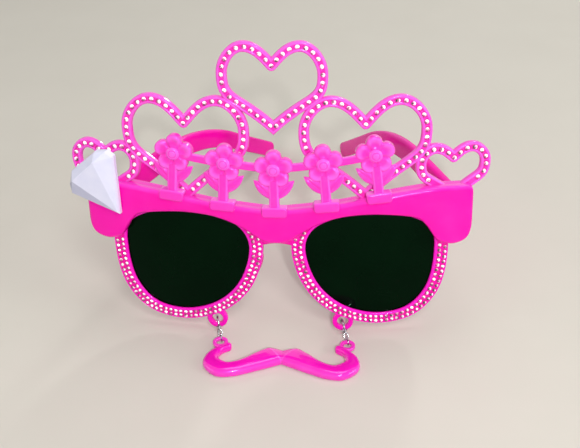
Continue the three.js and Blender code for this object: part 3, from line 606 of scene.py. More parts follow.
def cut_stone():
    """Foil-backed clear stone: white painted glints and pink and dark green painted reflections on its
    facets by the tint of each corner, and a faint painted glow.
    """
    # emission makes every stone glow a little, as painted light
    finish = Finish("cut_stone", IOR=1.6, Emission_Strength=0.25)
    tint = finish.attribute("painted_light")
    colour = finish.mix(finish.ramp(tint, 0.05, 0.3), (0.03, 0.09, 0.06), (0.62, 0.16, 0.34))
    colour = finish.mix(finish.ramp(tint, 0.3, 0.5), colour, (0.88, 1.0, 0.97))
    return finish.set(
        Base_Color=colour,
        Emission_Color=colour,
        Metallic=0.2 + tint * 0.1,
        Roughness=0.05 + finish.noise(0.4, 2.0) * 0.08,
    )


PINK = moulded_plastic("pink_plastic", (0.97, 0.0, 0.43), (1.0, 0.012, 0.62), 0.25)
LIGHT_PINK = moulded_plastic("light_pink_plastic", (0.99, 0.035, 0.56), (1.0, 0.12, 0.76), 0.5)
DEEP_PINK = moulded_plastic("deep_pink_plastic", (0.98, 0.0, 0.43), (1.0, 0.05, 0.66), 0.35)
MAGENTA = moulded_plastic("magenta_plastic", (0.99, 0.006, 0.54), (1.0, 0.09, 0.7), 0.9)
ARM_PINK = moulded_plastic("arm_plastic", (1.0, 0.0, 0.43), (1.0, 0.012, 0.62), 0.05, 0.15)
# a darker copy of the pink, for the painted shade round the stones
CUP_PINK = moulded_plastic("stone_cup_plastic", (0.62, 0.0, 0.18), (0.97, 0.01, 0.48), 0.25)
LENS_GREEN = lens_plastic()
PEARL = pearl_plastic()
CHROME = bright_metal()
STONE = cut_stone()


# Front frame

def opening_path(count=220):
    """Closed Catmull-Rom curve through LENS_OPENING, as count points."""
    return anticlockwise(smooth_path(LENS_OPENING, count, closed=True))


def rim_widths(path):
    """Width of the rim at each point: RIM_FOOT where it faces down, RIM_WIDTH at its sides and top."""
    down = np.maximum(0, -outward(path)[:, 1])
    return RIM_WIDTH + (RIM_FOOT - RIM_WIDTH) * down**2


def quarter(middle, radius, start, stop, painted_lights, steps=5):
    """Arc of a section from start to stop degrees, as offset, depth and painted light; depth grows with the
    sine.
    """
    turn = np.radians(np.linspace(start, stop, steps))
    across = middle[0] + radius * np.cos(turn)
    return np.stack([across, middle[1] + radius * np.sin(turn), np.linspace(*painted_lights, steps)], axis=1)


def rim_profile():
    """Section of a rim: offset from the opening, depth, and painted light, high for a painted highlight on
    a lip.

    Quarter circles round its edges, a channel with smoothstep slopes between two lips, and the
    square groove for the lens on its inner side.
    """
    inner_round, outer_round, rear_round, chamfer, wall = 0.7, 0.25, 0.6, 0.5, 0.85
    start, stop = RIM_LIP, RIM_WIDTH - CHANNEL_SLOPE
    inner = quarter((inner_round, inner_round), inner_round, 180, 270, (SIDE_PAINTED_LIGHT, 1))
    channel = np.linspace(start, stop, 16)
    falls = smoothstep(channel, start, start + CHANNEL_SLOPE)
    sunk = falls * (1 - smoothstep(channel, stop - CHANNEL_SLOPE, stop))
    # painted shade on the sunk channel floor, painted highlight towards the lips
    floor = np.stack([channel, CHANNEL_DEPTH * sunk, 1 - sunk], axis=1)
    outer = quarter((RIM_WIDTH - outer_round, outer_round), outer_round, 270, 360, (1, SIDE_PAINTED_LIGHT))
    rear_middle = (RIM_WIDTH - rear_round, RIM_DEPTH - rear_round)
    rear = quarter(rear_middle, rear_round, 0, 90, (SIDE_PAINTED_LIGHT, SIDE_PAINTED_LIGHT))
    groove_back, groove_front = LENS_SETBACK + LENS_THICKNESS + SEAT_GAP, LENS_SETBACK - SEAT_GAP
    inside = [
        (chamfer, RIM_DEPTH), (0.0, RIM_DEPTH - chamfer), (0.0, groove_back),
        (LENS_TUCK, groove_back), (LENS_TUCK, groove_front), (0.0, wall),
    ]
    inside = np.column_stack([inside, np.full(len(inside), SIDE_PAINTED_LIGHT)])
    return np.vstack([inner, floor, outer, rear, inside]).T


def rim(side):
    """Rim section carried round the lens opening along its normals, drawn in to the width there."""
    path = opening_path()
    offset, depth, painted_light = rim_profile()
    share = smoothstep(offset, RIM_LIP - 0.1, RIM_LIP + 0.2) * (offset - RIM_LIP) / (RIM_WIDTH - RIM_LIP)
    across = offset + share * (rim_widths(path)[:, None] - RIM_WIDTH)
    place = path[:, None, :] + across[..., None] * outward(path)[:, None, :]
    surface = on_front(side * place[..., 0], place[..., 1], depth[None, :])
    return skin(surface, closed_rows=True, painted_light=painted_light[None, :])


def lens(side):
    """Domed sheet: rings shrink from the groove to the middle, the dome rises with 1 - share squared."""
    path = opening_path()
    edge = path + outward(path) * (LENS_TUCK - SEAT_GAP)
    middle = path.mean(axis=0)
    rings, innermost = 26, 0.02
    share = np.concatenate([np.linspace(innermost, 1, rings), np.linspace(1, innermost, rings)])
    depth = LENS_SETBACK + np.repeat([0.0, LENS_THICKNESS], rings) - LENS_DOME * (1 - share**2)
    place = middle + (edge - middle)[None] * share[:, None, None]
    return skin(on_front(side * place[..., 0], place[..., 1], depth[:, None]))


def stations(low, high, step=0.8):
    """Places from low to high at equal distances just under step."""
    return np.linspace(low, high, int((high - low) / step) + 2)


def upper_bar():
    """Bar behind the brow cover, between its two curves and a little inside them."""
    return bar(
        stations(-BAR_REACH, BAR_REACH),
        lambda s: brow_bottom(s) + BAR_INSET,
        lambda s: brow_top(s) - BAR_TOP_INSET,
        front=LAYER, back=RIM_DEPTH + LAYER, front_radius=0.4, back_radius=0.7,
    )


def bridge():
    """Bar between the rims, whose lower edge sags with the square of the distance from the middle."""
    bottom, top = BRIDGE_HEIGHTS
    return bar(
        stations(-BRIDGE_REACH, BRIDGE_REACH),
        lambda s: bottom - BRIDGE_SAG * (s / BRIDGE_REACH) ** 2,
        lambda s: top + 0 * s,
        front=2 * LAYER, back=BRIDGE_DEPTH, front_radius=1.4, back_radius=1.4,
    )


def end_piece(side):
    """Straight bar behind one end of the upper bar, which carries the hinge."""
    low, high = sorted((side * END_INNER, side * BAR_REACH))
    return bar(
        stations(low, high),
        lambda s: END_HEIGHTS[0] + 0 * s,
        lambda s: END_HEIGHTS[1] + 0 * s,
        front=RIM_DEPTH / 2, back=END_BACK, front_radius=0.6, back_radius=0.9,
    )


def nose_pad(side):
    """Ellipsoid on a grid of its two angles, tilted behind the inner side of a rim."""
    v = np.linspace(0.02, math.pi - 0.02, 24)[:, None]
    u = np.linspace(0, 2 * math.pi, 36, endpoint=False)[None, :]
    x = PAD_SIZE[0] * np.sin(v) * np.cos(u)
    y = PAD_SIZE[1] * np.cos(v) + 0 * u
    z = PAD_SIZE[2] * np.sin(v) * np.sin(u)
    s = PAD_PLACE[0] + x * math.cos(PAD_TILT) - y * math.sin(PAD_TILT)
    h = PAD_PLACE[1] + x * math.sin(PAD_TILT) + y * math.cos(PAD_TILT)
    return skin(on_front(side * s, h, PAD_PLACE[2] + z))


def ring_band(centre, radius, strip, front, back, place, edge, count=72):
    """Flat ring: a rounded section carried round a circle."""
    turn = np.linspace(0, 2 * math.pi, count, endpoint=False)[:, None]
    across, depth = rounded_box_profile(-strip / 2, strip / 2, front, back, edge, edge)
    r = radius + across[None, :]
    x, y = centre[0] + r * np.cos(turn), centre[1] + r * np.sin(turn)
    return skin(place(x, y, depth[None, :] + 0 * turn), closed_rows=True, painted_light=np.full((1, 1), 0.5))


def rim_loop(side):
    """Flat ring under a rim, in which the jump ring hangs."""
    centre = (side * LOOP_PLACE[0], LOOP_PLACE[1])
    radius = LOOP_OUTER - LOOP_STRIP / 2
    return ring_band(centre, radius, LOOP_STRIP, SEAT_GAP, SEAT_GAP + LOOP_DEPTH, on_front, 0.6)


def brow_bar():
    """Raised cover: rounded section between the two brow curves, its ends drawn in to round corners."""
    lower_corner, upper_corner = BROW_CORNERS
    return bar(
        stations(-BROW_REACH, BROW_REACH, 0.5),
        lambda s: brow_bottom(s) + rounding(s, BROW_REACH, lower_corner),
        lambda s: brow_top(s) - rounding(s, BROW_REACH, upper_corner),
        front=-SEAT_GAP - BROW_DEPTH, back=-SEAT_GAP, front_radius=BROW_EDGE, back_radius=0.2, end=1.1,
    )


# Tiara

def bezier(a, b, c, e, count):
    """Cubic from a to e, pulled towards b and c, without its last point."""
    t = np.linspace(0, 1, count, endpoint=False)[:, None]
    a, b, c, e = (np.array(p, float) for p in (a, b, c, e))
    return a * (1 - t) ** 3 + 3 * b * t * (1 - t) ** 2 + 3 * c * t**2 * (1 - t) + e * t**3


def heart_half(heart):
    """Right half of a heart's middle line in four cubics: notch, lobe, side and knee, down to the tip."""
    inset = HEART_STRIP / 2
    half, top, tip = heart["half"] - inset, heart["top"] - inset, heart["tip"] + inset * 1.5
    side, notch = heart["top"] - heart["side"], top - heart["notch"]
    lobe = half * HEART_LOBE
    away, climb, over = HEART_NOTCH
    knee = (half * HEART_KNEE[0], side - half * HEART_KNEE[1])
    third = knee[0] / 3
    drop, rise = (share * (knee[1] - tip) / 3 for share in HEART_FLANK)
    spans = [
        [(0, notch), (lobe * away, notch + (top - notch) * climb), (lobe * over, top), (lobe, top)],
        [(lobe, top), ((lobe + half) / 2, top), (half, (top + side) / 2), (half, side)],
        [(half, side), (half, (side + knee[1]) / 2), (knee[0] + third, knee[1] + drop), knee],
        [knee, (knee[0] - third, knee[1] - drop), (third, tip + rise), (0, tip)],
    ]
    return np.vstack([*(bezier(*span, 40) for span in spans), [(0, tip)]])


def onto_axis(before, last):
    """The point where the line from before through last meets x = 0."""
    return last + (last - before) * last[0] / (before[0] - last[0])


def heart_outline(heart, grow, count=96):
    """Closed outline at the distance grow outside the middle line, along its normals.

    Inside the notch an arc joins the two halves, and at the tip they meet on the axis.
    """
    middle = heart_half(heart)
    right = middle - grow * outward(middle, closed=False)
    right = right[right[:, 0] > 0.02]
    if grow < 0:
        turn = np.linspace(-math.pi / 2, math.atan2(right[0, 1] - middle[0, 1], right[0, 0]), 12)[:-1, None]
        start = middle[0] - grow * np.hstack([np.cos(turn), np.sin(turn)])
    else:
        start = [onto_axis(right[1], right[0])]
    right = even(np.vstack([start, right, [onto_axis(right[-3], right[-1])]]), count)
    return np.vstack([right, right[-2:0:-1] * (-1, 1)])


def heart_profile():
    """Section of a heart's strip: two lips rounded by quarter circles with a painted highlight, and a
    smoothstep channel with painted shade.
    """
    edge, back = HEART_STRIP / 2, HEART_DEPTH
    lip_round, corner = 0.8, 0.3
    flat, mouth = HEART_CHANNEL
    rise = quarter((edge - lip_round, lip_round), lip_round, 360, 270, (0.5, 1))
    across = np.linspace(mouth, -mouth, 13)
    sunk = 1 - smoothstep(np.abs(across), flat, mouth)
    channel = np.stack([across, CHANNEL_DEPTH * sunk, 1 - sunk], axis=1)
    rear = [(-edge, back - corner), (corner - edge, back), (edge - corner, back), (edge, back - corner)]
    rear = np.column_stack([rear, np.full(len(rear), SIDE_PAINTED_LIGHT)])
    return np.vstack([rise, channel, rise[::-1] * (-1, 1, 1), rear]).T


def heart(kind, side, layer):
    """One heart: each point of the section makes its own outline at its distance from the middle line."""
    grow, depth, painted_light = heart_profile()
    outlines = np.stack([heart_outline(kind, distance) for distance in grow], axis=1)
    place = on_front(side * (outlines[..., 0] + kind["s"]), outlines[..., 1], depth[None, :] + layer)
    return skin(place, closed_rows=True, painted_light=painted_light[None, :])


def tiara():
    """The middle heart and two more on each side, every size a little behind the one before."""
    forms = []
    for order, kind in enumerate(HEARTS):
        sides = (1, -1) if order else (1,)
        forms += [heart(kind, side, 2 * LAYER * order) for side in sides]
    return forms


# Stones

def brilliants(places, radius, height, dullest):
    """Small cut stones: rings of corners for the girdle, the crown and the flat table on top.

    Each stone is turned, tilted and tinted at random. Its tint is painted glint and painted reflection on
    the facets, and swings round it with a cosine.
    """
    s, h, d = places.T
    count, rows = len(s), len(STONE_RINGS)
    facet = 2 * math.pi / STONE_SIDES
    turn = RNG.uniform(0, facet, count)[:, None] + np.arange(STONE_SIDES) * facet
    lean_s, lean_h = RNG.normal(0, 0.07, (2, count, 1))
    rings = []
    for share, rise, twist in STONE_RINGS:
        x = radius * share * np.cos(turn + twist * facet)
        y = radius * share * np.sin(turn + twist * facet)
        depth = d[:, None] - height * rise + lean_s * x + lean_h * y
        rings.append(on_front(s[:, None] + x, h[:, None] + y, depth))
    # painted glints: gleam sets how bright a stone's painted glint is, facing where it is brightest
    gleam = RNG.uniform(dullest, 0.5, (count, 1, 1))
    facing = RNG.normal(0.6, 0.7, (count, 1))
    swing = np.reshape([0.36, 0.36, 0.36, 0.22], (1, rows, 1)) * (0.5 + gleam)
    chance = RNG.normal(0, 0.12, (count, rows, STONE_SIDES))
    tint = np.clip(gleam + swing * np.cos(turn - facing)[:, None] + chance, 0, 1)
    start = (np.arange(count) * rows * STONE_SIDES)[:, None, None]
    top = (rows - 1) * STONE_SIDES
    i = np.arange(1, STONE_SIDES - 1, 2)
    after = (i + 2) % STONE_SIDES
    walls = grid_faces(rows, STONE_SIDES, False, True)
    table = np.stack([i * 0 + top, top + i, top + i + 1, top + after], axis=1)
    base = np.stack([i * 0, after, i + 1, i], axis=1)
    faces = (np.vstack([walls, table, base])[None] + start).reshape(-1, 4)
    points = np.stack(rings, axis=1).reshape(-1, 3)
    return points, turned_out(points, faces), tint.reshape(-1)


def cups(places, radius):
    """A shallow dished ring round each stone, flush at its outer edge, with painted shade dark against the
    stone.
    """
    s, h, d = (axis[:, None, None] for axis in places.T)
    turn = np.arange(CUP_SIDES) * 2 * math.pi / CUP_SIDES
    share, drop, painted_light = np.array(CUP_RINGS).T
    out = radius * share[:, None]
    points = on_front(s + out * np.cos(turn), h + out * np.sin(turn), d + drop[:, None] - CUP_LIFT)
    count, rows = len(places), len(CUP_RINGS)
    start = (np.arange(count) * rows * CUP_SIDES)[:, None, None]
    faces = (grid_faces(rows, CUP_SIDES, False, True)[None] + start).reshape(-1, 4)
    tint = np.broadcast_to(painted_light[:, None], (count, rows, CUP_SIDES)).reshape(-1)
    return points.reshape(-1, 3), faces, tint


def spaced(path, pitch, start=0.0):
    """Places at equal steps of about pitch along a closed path, the first of them start steps on."""
    loop = np.vstack([path, path[:1]])
    length = np.linalg.norm(np.diff(loop, axis=0), axis=1).sum()
    count = int(round(length / pitch))
    parts = 24
    fine = even(path, count * parts, closed=True)
    return fine[int(start * parts)::parts]


def rim_stones():
    """Rows at shares of the rim's width, the second shifted by half a pitch, up to the brow cover."""
    path = opening_path()
    rows = []
    for row, share in enumerate(RIM_ROWS):
        line = path + outward(path) * rim_widths(path)[:, None] * share
        spots = spaced(line, RIM_PITCH, start=0.5 * row)
        below = spots[:, 1] + RIM_STONE < brow_bottom(spots[:, 0]) - RIM_BELOW_BROW
        rows.append(spots[below])
    spots = np.vstack(rows)
    return np.column_stack([spots, np.full(len(spots), RIM_STONE_SEAT)])


def heart_stones():
    """One row along the middle of every strip, above the brow, without stones that would overlap."""
    kept = []
    for kind in HEARTS:
        for spot in spaced(heart_outline(kind, 0.0), HEART_PITCH) + (kind["s"], 0):
            clear = all(np.hypot(*(spot - other)) > 1.9 * HEART_STONE for other in kept)
            if clear and spot[1] > brow_top(spot[0]) + HEART_ABOVE_BROW:
                kept.append(spot)
    spots = np.array(kept)
    mirrored = spots[spots[:, 0] > HEART_STONE] * (-1, 1)
    spots = np.vstack([spots[spots[:, 0] > -HEART_STONE], mirrored])
    return np.column_stack([spots, np.full(len(spots), HEART_STONE_SEAT)])


# Flower crest

def crest_place(s):
    """Places for one flower at s: x across and y up from the brow, turned half way to the brow's slope."""
    side = np.sign(s)
    base = float(brow_top(s))
    turn = 0.5 * math.atan2(float(brow_top(abs(s) + 1) - base), 1.0) * side
    cos, sin = math.cos(turn), math.sin(turn)
    return lambda x, y, d: on_front(s + x * cos - y * sin, base + x * sin + y * cos, d)


def blossom(place):
    """Rosette of round petals: its outline is the outermost of five circles in every direction.

    Smoothsteps press a dish into each petal and a crease between them; a quarter circle rounds the rim.
    """
    steps, hub = 180, 0.04
    edge, chamfer, crease_depth, dish_depth = 0.9, 0.3, 0.7, 0.45
    turn = np.linspace(0, 2 * math.pi, steps, endpoint=False)[None, :]
    span = 2 * math.pi / PETALS
    off = (turn - math.pi / 2 + span / 2) % span - span / 2
    outer = PETAL_SPREAD * np.cos(off) + np.sqrt(PETAL_RADIUS**2 - (PETAL_SPREAD * np.sin(off)) ** 2)
    front, back = CREST_BACK - CREST_DEPTH, CREST_BACK
    share = np.linspace(hub, 1, 26)[:, None]
    crease = crease_depth * smoothstep(np.abs(off), 0.24 * span, 0.5 * span) * smoothstep(share, 0.25, 0.6)
    dish = dish_depth * smoothstep(share, 0.35, 0.6) * (1 - smoothstep(share, 0.7, 1))
    face = front + crease + dish * np.cos(math.pi * off / span)
    arc = np.linspace(0, math.pi / 2, 7)[1:, None]
    radius = np.vstack([
        (outer - edge) * share, outer - edge + edge * np.sin(arc), outer, outer - chamfer, hub * outer,
    ])
    level = 0 * outer
    depth = np.vstack([
        face, face[-1:] + edge * (1 - np.cos(arc)), back - chamfer + level, back + level, back + level,
    ])
    # painted highlight on the outer petals and the rounded rim, little on the back
    bright = smoothstep(share, 0.6, 1) * (1 - smoothstep(np.abs(off), 0.3 * span, 0.5 * span))
    painted_light = np.vstack([bright, 1 - 0.6 * arc + 0 * turn, np.full((3, steps), 0.1)])
    return skin(place(radius * np.cos(turn), FLOWER_RISE + radius * np.sin(turn), depth), painted_light=painted_light)


def button(place):
    """Domed middle of a blossom: a cubic fall to its edge, with a bell-shaped ring pressed into it."""
    fall, wall, ring_place, ring_width, ring_depth = 1.0, 1.2, 0.55, 0.07, 0.22
    turn = np.linspace(0, 2 * math.pi, 60, endpoint=False)[None, :]
    share = np.linspace(0.03, 1, 24)[:, None]
    ring = ring_depth * np.exp(-(((share - ring_place) / ring_width) ** 2))
    depth = np.vstack([CREST_FRONT + fall * share**3 + ring, [[CREST_BACK - wall]]]) + 0 * turn
    radius = BUTTON_RADIUS * np.vstack([share, [[1.0]]])
    # painted shade in the pressed ring and at the edge, painted highlight on the dome
    painted_light = np.vstack([0.9 - 3 * ring, [[0.1]]])
    return skin(place(radius * np.cos(turn), FLOWER_RISE + radius * np.sin(turn), depth), painted_light=painted_light)


def leaf(place, side):
    """Pointed leaf: width 2t(1-t) along a curved middle line, with a vein pressed into its front."""
    root, bow, half_depth, vein_depth, vein_width = 1.5, 0.9, 1.35, 0.35, 0.4
    t = np.linspace(0.01, 0.99, 40)[:, None]
    along = -root * (1 - t) ** 2 + bow * LEAF_LENGTH * t * (1 - t) + LEAF_LENGTH * t**2
    width = 2 * t * (1 - t) * LEAF_WIDTH
    turn = np.linspace(0, 2 * math.pi, 28, endpoint=False)[None, :]
    across = width * np.cos(turn)
    middle = CREST_BACK - CREST_DEPTH / 2
    thick = half_depth * np.sqrt(np.clip(width / (LEAF_WIDTH / 2), 0.02, 1))
    vein = vein_depth * np.exp(-((across / vein_width) ** 2)) * (np.sin(turn) > 0)
    depth = middle - thick * np.sin(turn) + vein
    u, v = side * math.sin(LEAF_TILT), math.cos(LEAF_TILT)
    # painted highlight along both edges of the leaf
    painted_light = np.cos(turn) ** 2 + 0 * t
    return skin(place(along * u + across * v, LEAF_RISE + along * v - across * u, depth), painted_light=painted_light)


def stem(place):
    """Upright bar from the foot to the lowest petal, its two front edges with a painted highlight."""
    heights = np.concatenate([[0.2], np.linspace(0.5, FLOWER_RISE - PETAL_SPREAD, 12)])[:, None]
    half, bright_edge = STEM_WIDTH / 2, 0.7
    across, depth = rounded_box_profile(-half, half, CREST_BACK - CREST_DEPTH, CREST_BACK, 0.9, 0.4)
    painted_light = (np.abs(across) > half - bright_edge)[None, :] * 0.8
    return skin(place(across[None, :] + 0 * heights, heights, depth[None, :] + 0 * heights), painted_light=painted_light)


def foot(place):
    """A plate that laps over the brow's face and a block behind it that stands on the brow's top."""
    half = FOOT_WIDTH / 2
    brow_face = -SEAT_GAP - BROW_DEPTH - SEAT_GAP
    plate = bar(
        stations(-half, half, 0.3),
        lambda s: -FOOT_LAP + rounding(s, half, FOOT_CORNER),
        lambda s: FOOT_HEIGHT - rounding(s, half, FOOT_CORNER),
        front=CREST_FRONT, back=brow_face, front_radius=FOOT_EDGE, back_radius=0.1,
        end=FOOT_EDGE, place=place,
    )
    block = bar(
        stations(-half, half, 0.6),
        lambda s: SEAT_GAP + 0 * s,
        lambda s: FOOT_HEIGHT - 0.05 + 0 * s,
        front=CREST_FRONT + 0.3, back=CREST_BACK, front_radius=0.5, back_radius=0.5,
        end=FOOT_EDGE, place=place,
    )
    return [plate, block]


def crest():
    """A rail that follows the brow, and a flower with its stem, leaves and foot at every pitch along it."""
    last = (FLOWER_COUNT - 1) / 2 * FLOWER_PITCH
    middle = CREST_BACK - CREST_DEPTH / 2
    rail = bar(
        stations(-last, last),
        lambda s: brow_top(s) + FLOWER_RISE - RAIL_HEIGHT / 2,
        lambda s: brow_top(s) + FLOWER_RISE + RAIL_HEIGHT / 2,
        front=middle - RAIL_DEPTH / 2, back=middle + RAIL_DEPTH / 2, front_radius=0.6, back_radius=0.6,
    )
    forms = [rail]
    for order in range(FLOWER_COUNT):
        place = crest_place(order * FLOWER_PITCH - last)
        forms += [blossom(place), button(place), stem(place), leaf(place, 1), leaf(place, -1), *foot(place)]
    return forms


# Temples

def temple_line():
    """Middle line of an arm, as distance back, height and slope: it rises, arches over and drops.

    With it come the share of the taper and of the full height at each point. Past its end, sine and
    cosine carry it on as the round tip.
    """
    step = sum(TEMPLE_LENGTHS) / TEMPLE_STEPS
    along = np.arange(TEMPLE_STEPS + 1) * step
    angle = -TEMPLE_RISE + TEMPLE_TURN * np.clip((along - TEMPLE_LENGTHS[0]) / TEMPLE_LENGTHS[1], 0, 1)
    open_turn = HINGE_PLACE[0] / BEND_RADIUS - TEMPLE_OPEN_STOP
    start = (TEMPLE_INSIDE + TEMPLE_THICKNESS[0]) * math.sin(open_turn) - KNUCKLE_RADIUS
    back = start + np.concatenate([[0], np.cumsum(step * np.cos(angle[:-1]))])
    up = np.concatenate([[0], -np.cumsum(step * np.sin(angle[:-1]))])
    line = smooth_path(np.stack([back, up, angle], axis=1), 120)
    rounds = np.radians(np.linspace(8, 86, 10))
    reach = TEMPLE_HEIGHT[1] / 2 * np.sin(rounds)
    end_back, end_up, slope = line[-1]
    tip = [end_back + reach * math.cos(slope), end_up - reach * math.sin(slope), 0 * reach + slope]
    taper = smoothstep(np.concatenate([np.linspace(0, 1, len(line)), np.ones(len(reach))]), 0, 1)
    squeeze = np.concatenate([np.ones(len(line)), np.cos(rounds)])
    squeeze[0] = 0.93
    line = np.vstack([line, np.stack(tip, axis=1)])
    line[0, 2] = 0.0
    return line, taper, squeeze


def temple(side):
    """Tapered arm: a rounded section carried along the middle line, square to its slope."""
    line, taper, squeeze = temple_line()
    half = (TEMPLE_HEIGHT[0] + (TEMPLE_HEIGHT[1] - TEMPLE_HEIGHT[0]) * taper) / 2 * squeeze
    thick = TEMPLE_THICKNESS[0] + (TEMPLE_THICKNESS[1] - TEMPLE_THICKNESS[0]) * taper
    radius = np.minimum(1.25, half * 0.7)
    thin = 0.5 * thick * (1 - np.sqrt(np.clip(squeeze, 0.15, 1)))
    inside, outside = TEMPLE_INSIDE + thin, TEMPLE_INSIDE + thick - thin
    height, out = rounded_box_profile(-half, half, inside, outside, radius, radius)
    rear = line[:, :1] + height * np.sin(line[:, 2:])
    rise = line[:, 1:2] + height * np.cos(line[:, 2:])
    cos, sin = math.cos(TEMPLE_REST), math.sin(TEMPLE_REST)
    pivot_place = bend(*map(np.float64, HINGE_PLACE))
    x = pivot_place[0] + out * cos - rear * sin
    y = pivot_place[1] + out * sin + rear * cos
    z = pivot_place[2] + rise
    return skin((leaned(np.stack([side * x, y, z], axis=-1)) + FRONT_ORIGIN) * MM)


# Chains

heading = np.array([math.sin(CHAIN_YAW), -math.cos(CHAIN_YAW), 0.0])
sideways = np.array([math.cos(CHAIN_YAW), math.sin(CHAIN_YAW), 0.0])
upwards = np.array([0.0, 0.0, 1.0])


def wire_loop(centre, along, across, path, wire, sides=14):
    """Round wire carried round a flat closed path drawn in the plane of along and across."""
    turn = np.linspace(0, 2 * math.pi, sides, endpoint=False)[None, :, None]
    path = anticlockwise(path)
    out = outward(path)
    spine = centre + path[:, :1] * along + path[:, 1:] * across
    radial = out[:, :1] * along + out[:, 1:] * across
    normal = np.cross(along, across)
    radius = (wire - WIRE_EASE) / 2
    tube = spine[:, None] + radius * (np.cos(turn) * radial[:, None] + np.sin(turn) * normal)
    return skin(tube * MM, closed_rows=True)


def circle(radius, count=64):
    """Points of a circle round the origin, from its cosine and sine."""
    turn = np.linspace(0, 2 * math.pi, count, endpoint=False)
    return radius * np.stack([np.cos(turn), np.sin(turn)], axis=1)


def stadium(inside, wire, count=20):
    """Two half circles joined by straight sides, at the middle of the wire."""
    length, width = inside
    radius = (width + wire) / 2
    straight = (length + wire) / 2 - radius
    turn = np.linspace(-math.pi / 2, math.pi / 2, count)
    right = np.stack([straight + radius * np.cos(turn), radius * np.sin(turn)], axis=1)
    return np.vstack([right, -right])


def chain_pivots(side):
    """The five link pivots of one chain; the right chain is the left one moved across."""
    names = [f"left_link_{i}_pivot" for i in (1, 2, 3, 4)] + ["moustache_pivot"]
    shift = pivot("right_ring_pivot") - pivot("left_ring_pivot") if side > 0 else 0.0
    return np.array([pivot(name) for name in names]) + shift


def chain_link(side, order):
    """A link from its own pivot to the next; even links stand upright, the last is the longer hook."""
    ends = chain_pivots(side)[order - 1:order + 1]
    along = (ends[1] - ends[0]) / np.linalg.norm(ends[1] - ends[0])
    centre = ends.mean(axis=0)
    hook = order == 4
    if hook:
        centre = ends[1] + along * (EYELET_STRIP / 2 + PIVOT_GAP - HOOK_INSIDE[0] / 2)
    across = sideways if order % 2 else np.cross(sideways, along)
    inside, wire = (HOOK_INSIDE, HOOK_WIRE) if hook else (LINK_INSIDE, LINK_WIRE)
    return wire_loop(centre, along, across, stadium(inside, wire), wire)


def jump_ring(name):
    """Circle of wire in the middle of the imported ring's box, upright along the chains' heading."""
    low, high = (np.array(corner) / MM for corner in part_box(name))
    return wire_loop((low + high) / 2, heading, upwards, circle(RING_MIDDLE), RING_WIRE)


# Moustache

eyelet_reach = EYELET_OUTER - EYELET_STRIP / 2
eyelet_left = pivot("moustache_pivot") - (0, eyelet_reach, 0)
eyelet_right = chain_pivots(1)[-1] - (0, eyelet_reach, 0)
moustache_origin = (eyelet_left + eyelet_right) / 2 * (1, 1, 0)


def moustache_body():
    """Sections between two edges: pillowed, flat underneath, sunk in the wedge between notch and bumps.

    Across a section a power of the cosine sets the place and a power of the sine the height. Past the
    last one, sine and cosine carry the sections on as the round tip.
    """
    outer, inner = (catmull(edge, samples=14) for edge in (MOUSTACHE_OUTER, MOUSTACHE_INNER))
    share = np.linspace(0, 1, len(outer))
    rounds = np.radians(np.linspace(10, 86, 9))
    middle, across = (outer[-1] + inner[-1]) / 2, (inner[-1] - outer[-1]) / 2
    onward = np.array([across[1], -across[0]])
    reach = middle + np.sin(rounds)[:, None] * onward
    outer = np.vstack([outer, reach - np.cos(rounds)[:, None] * across])
    inner = np.vstack([inner, reach + np.cos(rounds)[:, None] * across])
    tip_squeeze = (1 - MOUSTACHE_THINNING) * (0.4 + 0.6 * np.cos(rounds))
    squeeze = np.concatenate([1 - MOUSTACHE_THINNING * share**2, tip_squeeze])
    low = np.concatenate([0 * share, 0.3 * MOUSTACHE_DEPTH * (1 - np.cos(rounds))])
    turn = np.linspace(0, math.pi, 25)
    bulge = np.sign(np.cos(turn)) * np.abs(np.cos(turn)) ** MOUSTACHE_PILLOW[0]
    pillow = MOUSTACHE_WALL + (1 - MOUSTACHE_WALL) * np.sin(turn) ** MOUSTACHE_PILLOW[1]
    n = np.concatenate([bulge, [-0.93, -0.8, 0.8, 0.93]])
    up = np.concatenate([pillow, [0.06, 0.0, 0.0, 0.06]])
    plan = outer[:, None] + (inner - outer)[:, None] * ((n + 1) / 2)[None, :, None]
    notch = MOUSTACHE_OUTER[0][1]
    rise = (plan[..., 1] - notch) / (MOUSTACHE_INNER[0][1] - notch)
    wedge = rise - plan[..., 0] / MOUSTACHE_INNER[1][0]
    sink = MOUSTACHE_DENT * np.maximum(0, wedge)
    height = low[:, None] + up * (MOUSTACHE_DEPTH * squeeze[:, None] - sink)
    half = np.concatenate([plan, height[..., None]], axis=2)
    # painted highlights: light lines along the creases of the sunk wedge and a lighter near wall
    crease = 1 - smoothstep(np.abs(wedge), 0.03, 0.12)
    painted_light = np.maximum(0.8 * crease, 0.35 * smoothstep(-n, 0.75, 0.95))
    whole = np.concatenate([half[:0:-1] * (-1, 1, 1), half])
    return skin((whole + moustache_origin) * MM, painted_light=np.concatenate([painted_light[:0:-1], painted_light]))


def in_metres(x, y, z):
    """Millimetres in the glasses' own frame to metres."""
    return np.stack(np.broadcast_arrays(x, y, z), axis=-1) * MM


def eyelet(centre):
    """Flat ring on a tip of the moustache, half its depth above and below the pivot."""
    low, high = centre[2] - EYELET_DEPTH / 2, centre[2] + EYELET_DEPTH / 2
    return ring_band(centre[:2], eyelet_reach, EYELET_STRIP, low, high, in_metres, 0.4)


# The finished pieces

